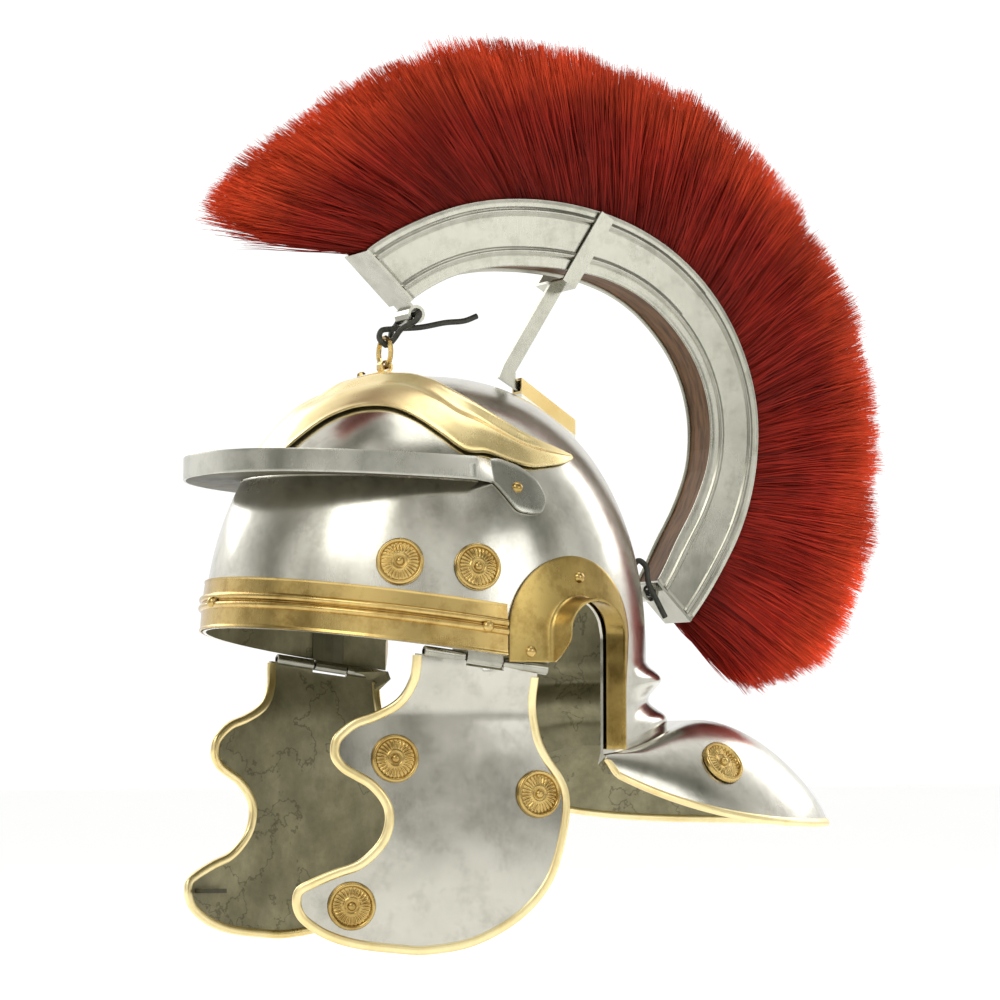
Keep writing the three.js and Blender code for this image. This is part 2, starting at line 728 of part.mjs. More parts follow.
function makeCheekPlate(edge) {
  const split = knuckleSplits.map((share) => lerp(hingeFrontY, hingeRearY, share));
  const seat = knuckleRadius - 0.6;
  const relief = knuckleRadius + 1.2;
  const top = [];
  const frontY = edge[0].y;
  const rearY = edge[edge.length - 1].y;
  top.push([rearY, hingeZ(rearY) - seat], [split[1] + gap, hingeZ(split[1]) - seat]);
  top.push([split[1] + gap, hingeZ(split[1]) - relief], [split[0] - gap, hingeZ(split[0]) - relief]);
  top.push([split[0] - gap, hingeZ(split[0]) - seat], [frontY, hingeZ(frontY) - seat]);
  const outline = [...edge.map(({ y, z }) => [y, z]), ...top];
  const prism = acrossX(outline, cheekTopX - cheekWrap * 2, cheekTopX + 20);
  const rows = [];
  const back = [];
  const levels = 12;
  const bays = 13;
  for (let i = 0; i <= levels; i += 1) {
    const z = lerp(hingeZ(hingeFrontY) + 3, -cheekDrop - 4, (i / levels) ** 1.25);
    const ys = Array.from({ length: bays + 1 }, (_, j) => (
      lerp(cheekFrontY - 4, cheekFrontY + cheekLength + 4, j / bays)));
    rows.push(ys.map((y) => vec(cheekX(y, z) + cheekSheet / 2, y, z)));
    back.push(ys.map((y) => vec(cheekX(y, z) - cheekSheet / 2, y, z)));
  }
  const plate = shared(slab(rows, back), prism);
  const bore = hingePinRadius + pinClearance;
  const end = gap / (hingeRearY - hingeFrontY);
  const spans = [[0, knuckleSplits[0] - end], [knuckleSplits[1] + end, 1]];
  const knuckles = spans.map(([a, b]) => hollowTube(hingePoint(a), hingePoint(b), knuckleRadius, bore, 10));
  const clear = rod(hingePoint(-0.1), hingePoint(1.1), bore, 10);
  return cut(join(plate, ...knuckles), clear);
}

function cheekNormal(y, z) {
  const step = 0.5;
  const slopeY = (cheekX(y + step, z) - cheekX(y - step, z)) / (2 * step);
  const slopeZ = (cheekX(y, z + step) - cheekX(y, z - step)) / (2 * step);
  return vec(1, -slopeY, -slopeZ).normalize();
}

function makeCheekEdging(edge) {
  let outline = null;
  const rings = edge.slice(1, -1).map(({ y, z, outY, outZ }) => {
    const n = cheekNormal(y, z);
    const d = vec(0, outY, outZ);
    d.addScaledVector(n, -d.dot(n)).normalize();
    const made = trimRing(vec(cheekX(y, z), y, z), d, n, cheekSheet);
    outline = made.outline;
    return made.ring;
  });
  return sweep(rings, outline);
}

const edge = cheekEdge();
const cheekPlate = makeCheekPlate(edge);
const cheekEdging = makeCheekEdging(edge);
add('cheek_plate_left', cheekPlate, steel);
add('cheek_plate_right', mirrored(cheekPlate), steel);
add('cheek_edging_left', cheekEdging, brass);
add('cheek_edging_right', mirrored(cheekEdging), brass);

// The bowl's half of each hinge: a leaf inside the rim with the middle knuckle
function makeHingeLeaf() {
  const end = gap / (hingeRearY - hingeFrontY);
  const [a, b] = [hingePoint(knuckleSplits[0] + end), hingePoint(knuckleSplits[1] - end)];
  const bore = hingePinRadius + pinClearance;
  const knuckle = hollowTube(a, b, knuckleRadius, bore, 10);
  const leafThick = 1.2;
  const leafRise = 15;
  const seat = -sheet - gap - 0.25;
  const levels = [0, 0.25, 0.6, 1];
  const faces = [seat, seat - leafThick].map((out) => levels.map((level) => (
    Array.from({ length: 4 }, (_, j) => {
      const y = lerp(a.y, b.y, j / 3);
      const z = lerp(hingeZ(y), rimZ(y) + leafRise, level);
      const p = onDomeSide(y, Math.max(z, 0), out);
      return vec(p.x, y, z);
    }))));
  const clear = rod(hingePoint(-0.1), hingePoint(1.1), bore, 10);
  return cut(join(slab(faces[0], faces[1]), knuckle), clear);
}

const leaf = makeHingeLeaf();
add('hinge_leaf_left', leaf, steel);
add('hinge_leaf_right', mirrored(leaf), steel);
const pin = rod(hingePoint(0.01), hingePoint(0.99), hingePinRadius, 10);
add('hinge_pin_left', pin, steel);
add('hinge_pin_right', mirrored(pin), steel);

// Rosettes: a rolled rim, a sunk ring and a domed boss
function rosetteShape() {
  const r = rosetteRadius;
  const t = rosetteThick;
  const profile = [[0, 0], [r, 0], [r * 0.93, t * 0.66], [r * 0.78, t * 0.42], [r * 0.42, t * 0.5],
    [r * 0.28, t], [0, t * 1.15]];
  const lathe = new THREE.LatheGeometry(profile.map(([u, v]) => new THREE.Vector2(u, v)), 12);
  return outward(lathe.rotateX(Math.PI / 2));
}

function rivetShape() {
  const r = rivetRadius;
  const profile = [[0, 0], [r, 0], [r * 0.68, r * 0.55], [0, r * 0.72]];
  const lathe = new THREE.LatheGeometry(profile.map(([u, v]) => new THREE.Vector2(u, v)), 8);
  return outward(lathe.rotateX(Math.PI / 2));
}

function seat(name, geometry, material, point, normal) {
  const mesh = add(name, geometry, material);
  mesh.position.copy(point);
  mesh.quaternion.setFromUnitVectors(vec(0, 0, 1), normal);
}

function seatPair(stem, number, geometry, material, point, normal) {
  const flip = (v) => vec(-v.x, v.y, v.z);
  const ending = number ? `_${number}` : '';
  seat(`${stem}_left${ending}`, geometry, material, point, normal);
  seat(`${stem}_right${ending}`, geometry, material, flip(point), flip(normal));
}

const rosette = rosetteShape();
const rivet = rivetShape();
const domeSeat = (bearing, z, out) => {
  const p = onDome(bearing, z);
  const n = domeNormal(p);
  return [p.clone().addScaledVector(n, out), n];
};

[{ bearing: 61.7, rise: 0.318 }, { bearing: 81.5, rise: 0.302 }].forEach(({ bearing, rise }, i) => {
  seatPair('bowl_rosette', i + 1, rosette, brass, ...domeSeat(bearing, bowlHeight * rise, gap));
});

[[0.341, 0.341], [0.871, 0.462], [0.194, 0.833]].forEach(([along, down], i) => {
  const [y, z] = cheekPoint(along, down);
  const n = cheekNormal(y, z);
  const p = vec(cheekX(y, z), y, z).addScaledVector(n, cheekSheet / 2 + gap);
  seatPair('cheek_rosette', i + 1, rosette, brass, p, n);
});

// The neck guard's own surface at a bearing and a share of its reach, with its normal
function onGuard(bearing, row) {
  const pick = (b, r) => {
    const column = bowlColumn(b);
    const crease = column[column.length - 1 - guardRows.length];
    const stops = [0, ...guardRows];
    const k = clamp(stops.findIndex((stop) => stop >= r), 1, stops.length - 1);
    const points = [crease, ...column.slice(-guardRows.length)];
    return points[k - 1].clone().lerp(points[k], (r - stops[k - 1]) / (stops[k] - stops[k - 1]));
  };
  const p = pick(bearing, row);
  const aside = pick(bearing + 2, row).sub(p);
  const outboard = pick(bearing, row + 0.05).sub(p);
  const n = aside.cross(outboard).normalize();
  return [p, n.z < 0 ? n.negate() : n];
}

const neckRosetteBearing = 139;
const neckRosetteRow = 0.64;
const [neckPoint, neckNormal] = onGuard(neckRosetteBearing, neckRosetteRow);
seatPair('neck_rosette', 0, rosette, brass, neckPoint.addScaledVector(neckNormal, 0.35), neckNormal);

// Rivets
const bandRivetUp = bandHeight * 0.5 + 0.3;
function bandRivet(bearing) {
  const z = rimZ(onDome(bearing, 0).y) + bandRivetUp;
  return domeSeat(bearing, z, gap + bandThick + beadHeight + 0.3);
}
seat('brow_band_rivet_front', rivet, brass, ...bandRivet(0));
seatPair('brow_band_rivet', 0, rivet, brass, ...bandRivet(83.4));

const sideSeat = (y, z, out) => {
  const p = onDomeSide(y, z);
  const n = domeNormal(p);
  return [p.clone().addScaledVector(n, out), n];
};
const leafRivetY = lerp(leafStations[0].y, leafEndY, 0.44);
seatPair('peak_rivet', 0, rivet, brass,
  ...sideSeat(leafRivetY, peakBase(leafRivetY) - 0.22 * peakFlange, gap + peakSheet + 0.35));
const earMidRadius = (earRadius + earFaceRadius) / 2;
seatPair('ear_guard_rivet', 1, rivet, brass, ...sideSeat(earY + 1, earZ + earMidRadius, gap + 1.9));
seatPair('ear_guard_rivet', 2, rivet, brass,
  ...sideSeat(earY - earMidRadius - 1.5, rimZ(earY - earMidRadius) + 4, gap + 1.9));

// Crest box: an arc through stations at polar angles about its centre; outer edge as a share of the
// crest radius, and depth as a share of the crest depth
const crestStations = [
  { angle: 150, outer: 1.085, depth: 1.02 },
  { angle: 136, outer: 1.047, depth: 1 },
  { angle: 122, outer: 1.007, depth: 0.96 },
  { angle: 108, outer: 0.984, depth: 0.98 },
  { angle: 94, outer: 0.969, depth: 0.995 },
  { angle: 80, outer: 0.969, depth: 0.985 },
  { angle: 66, outer: 0.982, depth: 0.94 },
  { angle: 52, outer: 0.999, depth: 0.9 },
  { angle: 38, outer: 1.01, depth: 0.87 },
  { angle: 24, outer: 1.012, depth: 0.83 },
  { angle: 10, outer: 1.008, depth: 0.82 },
  { angle: -4, outer: 0.993, depth: 0.82 },
  { angle: -18, outer: 0.98, depth: 0.87 },
  { angle: -32, outer: 0.971, depth: 0.88 },
  { angle: -46, outer: 0.987, depth: 0.81 },
  { angle: -60, outer: 1.02, depth: 0.75 },
];
const crestFrontAngle = crestStations[1].angle;
const crestRearAngle = crestStations[crestStations.length - 2].angle;

function alongStations(key, angle) {
  const step = crestStations[0].angle - crestStations[1].angle;
  const place = (crestStations[0].angle - angle) / step;
  const i = clamp(Math.floor(place), 1, crestStations.length - 3);
  const t = place - i;
  const [a, b, c, d] = [-1, 0, 1, 2].map((k) => crestStations[i + k][key]);
  return 0.5 * (2 * b + (c - a) * t + (2 * a - 5 * b + 4 * c - d) * t * t + (3 * b - a - 3 * c + d) * t ** 3);
}

// A point of the box at a share of its length, and a share of its depth from the inner edge out
function crestAt(share, reach) {
  const angle = lerp(crestFrontAngle, crestRearAngle, share);
  const outer = crestRadius * alongStations('outer', angle);
  const depth = crestDepth * alongStations('depth', angle);
  const radius = outer - depth * (1 - reach);
  return [crestY + radius * Math.cos(rad(angle)), crestZ + radius * Math.sin(rad(angle))];
}

const crestSteps = 28;
function crestSweep(outline) {
  const rings = [];
  for (let i = 0; i <= crestSteps; i += 1) {
    rings.push(outline.map(([reach, x]) => {
      const [y, z] = crestAt(i / crestSteps, reach);
      return vec(x, y, z);
    }));
  }
  return sweep(rings, outline);
}

const plateIn = crestHalfWidth - crestPlate;
const ribOut = crestHalfWidth + crestRib;
const sideOutline = [[0, plateIn], [1, plateIn], [1, crestHalfWidth], [0.87, crestHalfWidth], [0.82, ribOut],
  [0.77, crestHalfWidth], [0.27, crestHalfWidth], [0.22, ribOut], [0.17, crestHalfWidth], [0, crestHalfWidth]];
const crestSide = crestSweep(sideOutline);
add('crest_side_left', crestSide, steel);
add('crest_side_right', mirrored(crestSide), steel);
const coreHalf = plateIn - gap;
add('crest_core', crestSweep([[0.05, -coreHalf], [0.05, coreHalf], [0.98, coreHalf], [0.98, -coreHalf]]), wood);

// End caps of the crest box, each with an eye for its tie: the front one rolled from a tongue past the
// inner edge, the rear one standing on the cap
function makeCap(share) {
  const [iy, iz] = crestAt(share, 0);
  const [oy, oz] = crestAt(share, 1);
  const front = share < 0.5;
  const run = new THREE.Vector2(oy - iy, oz - iz).normalize();
  const out = front ? new THREE.Vector2(-run.y, run.x) : new THREE.Vector2(run.y, -run.x);
  const at = (up, away) => [iy + run.x * up + out.x * away, iz + run.y * up + out.y * away];
  const depth = Math.hypot(oy - iy, oz - iz);
  const far = gap + crestCap;
  const plate = acrossX([at(0, gap), at(depth, gap), at(depth, far), at(0, far)], -ribOut, ribOut);
  const tongueLength = eyeRadius + 2;
  const tongue = acrossX([at(-tongueLength, gap), at(2, gap), at(2, far), at(-tongueLength, far)],
    -eyeHalfLength, eyeHalfLength);
  const [y, z] = front ? at(-tongueLength - 1, gap + eyeRadius * 0.4) : at(3, far + eyeRadius - 0.8);
  const [a, b] = [vec(-eyeHalfLength, y, z), vec(eyeHalfLength, y, z)];
  const roll = hollowTube(a, b, eyeRadius, eyeBore, 12);
  const clear = rod(a.clone().setX(-eyeHalfLength * 2), b.clone().setX(eyeHalfLength * 2), eyeBore, 12);
  const pieces = front ? [plate, tongue, roll] : [plate, roll];
  return { geometry: cut(join(...pieces), clear), eye: [y, z] };
}
const frontCap = makeCap(0);
const rearCap = makeCap(1);
add('crest_front_cap', frontCap.geometry, steel);
add('crest_rear_cap', rearCap.geometry, steel);

// Hair: tapered locks side by side, fused into one fan round the crest box
function makeHair() {
  const rings = [];
  const outline = [[-0.58, 0], [0.58, 0], [0.8, 0.35], [1, 0.72], [0.86, 0.92], [0.3, 1], [-0.3, 1],
    [-0.86, 0.92], [-1, 0.72], [-0.8, 0.35]];
  const steps = hairLocks * 2;
  for (let i = 0; i <= steps; i += 1) {
    const share = i / steps;
    const notch = i % 2 === 0 ? 1 : 0;
    const root = crestAt(lerp(0.004, 0.996, share), 1.012);
    const bearing = lerp(hairFrontAngle, hairRearAngle, share);
    const trail = smooth(share, 0.88, 1);
    const lead = 1 - smooth(share, 0, 0.06);
    const ragged = 1 - 0.022 * notch - 0.012 * Math.sin(i * 1.7);
    const radius = (hairRadius - 27 * trail * trail + 2 * lead) * ragged;
    const tip = [crestY + radius * Math.cos(rad(bearing)), crestZ + radius * Math.sin(rad(bearing))];
    const width = (hairHalfWidth - 3 * notch) * lerp(1, 0.8, trail);
    rings.push(outline.map(([side, reach]) => {
      const across = reach === 0 ? Math.sign(side) * (coreHalf - 0.5) : side * width;
      return vec(across, lerp(root[0], tip[0], reach), lerp(root[1], tip[1], reach));
    }));
  }
  return sweep(rings, outline);
}
add('crest_hair', makeHair(), hair);

// Fork: a strip down each side of the crest box, a web under it, and a stalk to the socket on the bowl
const forkRun = new THREE.Vector2(forkKneeY - forkTopY, forkKneeZ - forkTopZ).normalize();
const forkSide = new THREE.Vector2(-forkRun.y, forkRun.x);
const forkAt = (a, s) => [forkTopY + forkRun.x * a + forkSide.x * s, forkTopZ + forkRun.y * a + forkSide.y * s];
const forkLength = Math.hypot(forkKneeY - forkTopY, forkKneeZ - forkTopZ);
const legLength = crestDepth + 8.5;

// The socket's top runs straight back and down over the bowl
const socketSlope = (socketRearZ - socketFrontZ) / (socketRearY - socketFrontY);
const socketTop = (y) => socketFrontZ + socketSlope * (y - socketFrontY);

function domeTop(y) {
  const along = Math.abs(y - bowlCentreY) / bowlHalfLength;
  return bowlHeight * Math.max(0, 1 - along ** bowlRoundness) ** (1 / bowlRoundness);
}

function makeFork() {
  const half = forkStrip / 2;
  const inside = ribOut + gap;
  const strip = [forkAt(0, -half), forkAt(0, half), forkAt(legLength, half), forkAt(legLength, -half)];
  const legs = [acrossX(strip, inside, inside + forkSheet), acrossX(strip, -inside - forkSheet, -inside)];
  const web = [forkAt(legLength - forkSheet, -half), forkAt(legLength - forkSheet, half),
    forkAt(legLength, half), forkAt(legLength, -half)];
  const bridge = acrossX(web, -inside - forkSheet, inside + forkSheet);
  const stem = stalkWidth / 2;
  const under = (y) => socketTop(y) - socketWall - gap;
  const footFront = socketFrontY - 1.5;
  const footRear = socketFrontY + 14;
  const footDepth = 4.6;
  const stalk = [
    forkAt(legLength - 0.4, -stem),
    forkAt(forkLength - 1, -stem),
    forkAt(forkLength + 5.5, -stem + 1),
    [footFront, under(footFront) - footDepth],
    [footRear, under(footRear) - footDepth],
    [footRear, under(footRear)],
    [footFront, under(footFront)],
    forkAt(forkLength - 2, stem),
    forkAt(legLength - 0.4, stem),
  ];
  return join(...legs, bridge, acrossX(stalk, -stalkThick / 2, stalkThick / 2));
}
add('crest_fork', makeFork(), steel);

// Socket: a brass box on the bowl, open in front for the fork's foot
function makeSocket() {
  const steps = 5;
  const seatZ = (y) => domeTop(y) + gap + 0.2;
  const low = [];
  for (let i = 0; i <= steps; i += 1) {
    const y = lerp(socketFrontY, socketRearY, i / steps);
    low.push([y, seatZ(y)]);
  }
  const body = acrossX([...low, [socketRearY, socketRearZ], [socketFrontY, socketFrontZ]],
    -socketHalfWidth, socketHalfWidth);
  const [front, rear] = [socketFrontY - 2, socketRearY - 2];
  const floor = 6.8;
  const hollow = acrossX([[front, socketTop(front) - floor], [rear, socketTop(rear) - floor],
    [rear, socketTop(rear) - socketWall], [front, socketTop(front) - socketWall]],
    -socketHalfWidth + socketWall, socketHalfWidth - socketWall);
  return cut(body, hollow);
}
add('crest_socket', makeSocket(), brass);

// Hook strip on the front of the bowl, rolled round the ring
const hookFrontY = -46.5;
const lugY = -27;
const lugBore = 2.4;
const lugRadius = 3.6;
const hookSeat = (y) => domeTop(y) + browPlateGap + browPlateThick + 0.8;
const lugZ = hookSeat(lugY) + lugRadius - 0.4;
function makeHook() {
  const outline = [];
  const over = [];
  for (let i = 0; i <= 3; i += 1) {
    const y = lerp(hookFrontY, lugY, i / 3);
    outline.push([y, hookSeat(y)]);
    over.unshift([y, hookSeat(y) + hookThick]);
  }
  const strip = acrossX([...outline, ...over], -hookHalfWidth, hookHalfWidth);
  const half = hookHalfWidth * 0.62;
  const roll = hollowTube(vec(-half, lugY, lugZ), vec(half, lugY, lugZ), lugRadius, lugBore, 10);
  const clear = rod(vec(-half * 3, lugY, lugZ), vec(half * 3, lugY, lugZ), lugBore, 10);
  return cut(join(strip, roll), clear);
}
add('front_hook', makeHook(), brass);
seat('front_hook_rivet', rivet, brass, vec(0, hookFrontY + 6.5, hookSeat(hookFrontY + 6.5) + hookThick + 0.35),
  vec(0, -0.32, 0.95).normalize());

const ringZ = lugZ + ringRadius - 0.2;
const ring = outward(new THREE.TorusGeometry(ringRadius, ringWire, 6, 18).rotateX(Math.PI / 2));
add('front_ring', ring, brass).position.set(0, lugY, ringZ);

// Staple on the back of the bowl for the rear tie
const stapleZ = rearCap.eye[1] + 11;
function makeStaple() {
  const wall = onDome(180, stapleZ).y;
  const n = domeNormal(onDome(180, stapleZ));
  const base = rod(vec(0, wall, stapleZ).addScaledVector(n, gap + 0.3), vec(0, wall, stapleZ).addScaledVector(n, 2),
    stapleRadius + 2.2, 10);
  const loop = outward(new THREE.TorusGeometry(stapleRadius, 1.3, 6, 12).rotateY(Math.PI / 2));
  loop.translate(0, wall + 3.2, stapleZ + 0.6);
  const front = bowlHalfLength * 2;
  const keep = acrossX([[wall + 1, -front], [front, -front], [front, front], [wall + 1, front]], -front, front);
  return join(base, shared(loop, keep));
}
add('rear_staple', makeStaple(), brass);

// Ties: the front one from the ring through the front eye, the rear one from the staple through the rear eye
const [frontEyeY, frontEyeZ] = frontCap.eye;
const wireZ = ringZ + ringRadius;
const frontTie = [
  [-2, lugY + 0.5, wireZ - 4], [-2.6, lugY + 3.9, wireZ - 0.8], [-6, lugY + 6.5, wireZ + 4],
  [-12.4, frontEyeY - 2, frontEyeZ - 3.6], [-12, frontEyeY, frontEyeZ], [-6, frontEyeY, frontEyeZ],
  [6, frontEyeY, frontEyeZ], [12, frontEyeY, frontEyeZ], [12.4, frontEyeY - 2, frontEyeZ - 3.6],
  [6, lugY + 6.5, wireZ + 4], [2.8, lugY + 3.9, wireZ - 0.8], [2.2, lugY + 0.4, wireZ - 4],
  [1.8, lugY - 3.7, wireZ - 1], [0.6, lugY - 2.2, wireZ + 3.3], [0, lugY + 4, wireZ + 4.6],
  [0, lugY + 19.8, wireZ + 6.2], [0, lugY + 34, wireZ + 9.3], [0, lugY + 45, wireZ + 10.8],
  [0, lugY + 52, wireZ + 13.6],
];
add('front_tie', tubeAlong(frontTie, cordRadius, 8, 36), cord);

const [rearEyeY, rearEyeZ] = rearCap.eye;
const stapleY = onDome(180, stapleZ).y + 4.7;
const rearTie = [
  [10.5, rearEyeY + 7.5, rearEyeZ - 13], [11, rearEyeY + 3, rearEyeZ - 5.5], [11.6, rearEyeY - 3, rearEyeZ + 5],
  [11.2, rearEyeY - 4.3, rearEyeZ + 13.5], [8.8, stapleY + 2.5, rearEyeZ + 16.5], [5.5, stapleY + 0.4, stapleZ + 2],
  [2.5, stapleY, stapleZ + 0.8], [-2.5, stapleY, stapleZ + 0.4], [-5.5, stapleY + 0.5, stapleZ - 1],
  [-10, rearEyeY - 5.5, rearEyeZ + 5], [-12.6, rearEyeY - 1.5, rearEyeZ + 1.5], [-11, rearEyeY, rearEyeZ],
  [-6, rearEyeY, rearEyeZ], [-1, rearEyeY, rearEyeZ], [5, rearEyeY, rearEyeZ],
];
add('rear_tie', tubeAlong(rearTie, cordRadius, 8, 24), cord);

// Chin tie loops inside the cheek pieces: a bent wire with both feet on the plate
function makeTieLoop() {
  const [y, z] = cheekPoint(0.1, 0.82);
  const n = cheekNormal(y, z).negate();
  const base = vec(cheekX(y, z), y, z).addScaledVector(n, cheekSheet / 2 + gap);
  const across = vec(0, 1, 0).addScaledVector(n, -n.y).normalize();
  const up = n.clone().cross(across);
  const wire = 1.1;
  const span = 7.5;
  const rise = 4.5;
  const path = [[-span, 0, 0], [-span, rise, 1], [span, rise, 1], [span, 0, 0]];
  const rings = path.map(([side, away, mitre]) => [[1, -1], [-1, -1], [-1, 1], [1, 1]].map(([u, v]) => (
    base.clone()
      .addScaledVector(across, side + u * wire * Math.sign(side))
      .addScaledVector(n, away + u * wire * mitre)
      .addScaledVector(up, v * wire))));
  return sweep(rings, [[0, 0], [1, 0], [1, 1], [0, 1]]);
}
const tieLoop = makeTieLoop();
add('cheek_tie_loop_left', tieLoop, brass);
add('cheek_tie_loop_right', mirrored(tieLoop), brass);

export default helmet;
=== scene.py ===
"""Roman legionary helmet: polished steel bowl, brass trim, red horsehair crest. Sizes are in millimetres."""
import math

import bmesh
import bpy
import numpy as np
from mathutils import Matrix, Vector
from mathutils.geometry import delaunay_2d_cdt


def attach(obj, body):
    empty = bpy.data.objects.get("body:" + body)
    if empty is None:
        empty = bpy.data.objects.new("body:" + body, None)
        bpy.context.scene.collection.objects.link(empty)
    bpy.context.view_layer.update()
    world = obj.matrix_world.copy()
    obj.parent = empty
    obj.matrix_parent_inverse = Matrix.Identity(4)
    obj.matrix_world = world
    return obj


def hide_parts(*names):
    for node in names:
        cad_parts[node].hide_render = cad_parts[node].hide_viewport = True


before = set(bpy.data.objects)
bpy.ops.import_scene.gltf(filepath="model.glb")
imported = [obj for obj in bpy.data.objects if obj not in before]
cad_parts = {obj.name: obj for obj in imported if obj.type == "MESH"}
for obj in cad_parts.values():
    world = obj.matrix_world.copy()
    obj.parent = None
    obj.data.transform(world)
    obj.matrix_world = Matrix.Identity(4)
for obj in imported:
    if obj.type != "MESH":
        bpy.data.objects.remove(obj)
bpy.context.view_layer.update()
MM = 0.001
rng = np.random.default_rng(11)

# ---- camera, lights and stage

CAMERA_PLACE = (1.7885, -0.8148, -0.0440)
CAMERA_TILT, CAMERA_HEADING = 93.7, 64.5
SENSOR_WIDTH, FOCAL_LENGTH = 36, 138.24

def placed(name, data):
    obj = bpy.data.objects.new(name, data)
    bpy.context.collection.objects.link(obj)
    return obj


camera = placed("camera", bpy.data.cameras.new("camera"))
camera.location = CAMERA_PLACE
camera.rotation_euler = (math.radians(CAMERA_TILT), 0, math.radians(CAMERA_HEADING))
camera.data.sensor_width = SENSOR_WIDTH
camera.data.lens = FOCAL_LENGTH
camera.data.clip_start, camera.data.clip_end = 0.05, 50
bpy.context.scene.camera = camera


def area_light(name, place, target, size, power, colour=(1, 1, 1)):
    data = bpy.data.lights.new(name, "AREA")
    data.size = size
    data.energy = power
    data.color = colour
    obj = placed(name, data)
    obj.location = place
    obj.rotation_euler = (Vector(target) - Vector(place)).to_track_quat("-Z", "Y").to_euler()


area_light("key_light", (1.1, -1.5, 1.5), (0, 0, 0.08), size=1.1, power=13, colour=(1, 0.99, 0.97))
area_light("side_light", (1.9, 1.0, 0.7), (0, 0, 0.05), size=0.9, power=6, colour=(0.97, 0.98, 1))
area_light("top_light", (0.1, 0.3, 2.1), (0, 0.05, 0.1), size=1.2, power=9)
area_light("far_light", (-1.6, -0.6, 1.0), (0, 0, 0.1), size=1.0, power=9, colour=(1, 0.99, 0.98))
area_light("back_light", (-0.5, 1.9, 0.9), (0, 0.1, 0.1), size=0.9, power=8)


# ---- materials

MIX_FACTOR, MIX_A, MIX_B, MIX_RESULT = 0, 6, 7, 2    # colour sockets of a mix node


class Paint:
    """Node tree of a material or world, with short calls. A value is a socket to link or a plain value."""

    def __init__(self, owner, end="Principled BSDF"):
        owner.use_nodes = True
        self.nodes, self.links = owner.node_tree.nodes, owner.node_tree.links
        self.end = self.nodes[end]

    def put(self, node, values):
        for key, value in values.items():
            socket = node.inputs[key]
            if isinstance(value, bpy.types.NodeSocket):
                self.links.new(value, socket)
            else:
                socket.default_value = (*value, 1) if socket.type == "RGBA" else value

    def look(self, values):
        self.put(self.end, values)

    def add(self, kind, values, **settings):
        node = self.nodes.new(f"ShaderNode{kind}")
        for key, value in settings.items():
            setattr(node, key, value)
        self.put(node, values)
        return node.outputs

    def noise(self, scale, detail=4.0, rough=0.55, stretch=(1, 1, 1), seed=0.0):
        coord = self.add("TexCoord", {})["Object"]
        shift = (seed, seed * 0.7, seed * 1.3)
        place = self.add("Mapping", {"Scale": stretch, "Location": shift, "Vector": coord})["Vector"]
        return self.add("TexNoise", {"Scale": scale, "Detail": detail, "Roughness": rough, "Vector": place})["Fac"]

    def ramp(self, source, stops):
        node = self.nodes.new("ShaderNodeValToRGB")
        while len(node.color_ramp.elements) < len(stops):
            node.color_ramp.elements.new(0.5)
        for element, (place, colour) in zip(node.color_ramp.elements, stops):
            element.position = place
            element.color = (*colour, 1)
        self.put(node, {"Fac": source})
        return node.outputs["Color"]

    def span(self, source, low, high, start=0.0, end=1.0):
        return self.add("MapRange", {"From Min": start, "From Max": end, "To Min": low, "To Max": high,
                                     "Value": source})["Result"]

    def mix(self, factor, a, b, blend="MIX"):
        return self.add("Mix", {MIX_FACTOR: factor, MIX_A: a, MIX_B: b}, data_type="RGBA",
                        blend_type=blend)[MIX_RESULT]

    def math(self, operation, a, b):
        return self.add("Math", {0: a, 1: b}, operation=operation)[0]

    def plus(self, a, b, weight):
        return self.math("ADD", a, self.math("MULTIPLY", b, weight))

    def bump(self, height, strength, distance):
        made = self.add("Bump", {"Strength": strength, "Distance": distance, "Height": height})
        self.look({"Normal": made["Normal"]})


def new_material(name):
    mat = bpy.data.materials.new(name)
    return mat, Paint(mat)


def metal(name, light, dark, rough, wave, scratch, patina=0.35, metallic=1.0):
    """Polished sheet: cloudy tone, hammered wave, fine scratches and duller patches."""
    mat, p = new_material(name)
    cloud = p.noise(scale=16, detail=5, rough=0.6)
    spots = p.noise(scale=75, detail=6, rough=0.7, seed=3.1)
    fine = p.noise(scale=900, detail=3, rough=0.7, stretch=(1, 1, 0.12), seed=1.7)
    swell = p.noise(scale=26, detail=2, rough=0.4, seed=5.0)
    tone = p.ramp(cloud, [(0.32, dark), (0.62, light)])
    spot_tone = p.ramp(spots, [(0.3, tuple(c * 0.72 for c in light)), (0.52, (1, 1, 1))])
    gloss = p.span(cloud, *rough, start=0.3, end=0.7)
    p.look({"Metallic": metallic, "Base Color": p.mix(patina, tone, spot_tone, "MULTIPLY"),
            "Roughness": p.plus(gloss, fine, weight=0.07)})
    p.bump(p.plus(swell, fine, scratch), wave, distance=0.002)
    return mat


steel = metal("polished_steel", (0.68, 0.66, 0.58), (0.50, 0.49, 0.42), rough=(0.13, 0.25), wave=0.22,
              scratch=0.03)
steel_cheek = metal("cheek_steel", (0.56, 0.545, 0.475), (0.42, 0.41, 0.35), rough=(0.12, 0.24), wave=0.30,
                    scratch=0.03)
steel_peak = metal("peak_steel", (0.60, 0.59, 0.52), (0.40, 0.395, 0.34), rough=(0.20, 0.34), wave=0.10,
                   scratch=0.04)
steel_crest = metal("crest_steel", (0.44, 0.43, 0.36), (0.28, 0.275, 0.225), rough=(0.17, 0.30), wave=0.14,
                    scratch=0.04)
brass = metal("polished_brass", (0.62, 0.45, 0.17), (0.36, 0.245, 0.075), rough=(0.15, 0.28), wave=0.16,
              scratch=0.04, patina=0.6)
brass_pale = metal("pale_brass", (0.95, 0.82, 0.47), (0.84, 0.66, 0.30), rough=(0.24, 0.36), wave=0.10,
                   scratch=0.04)
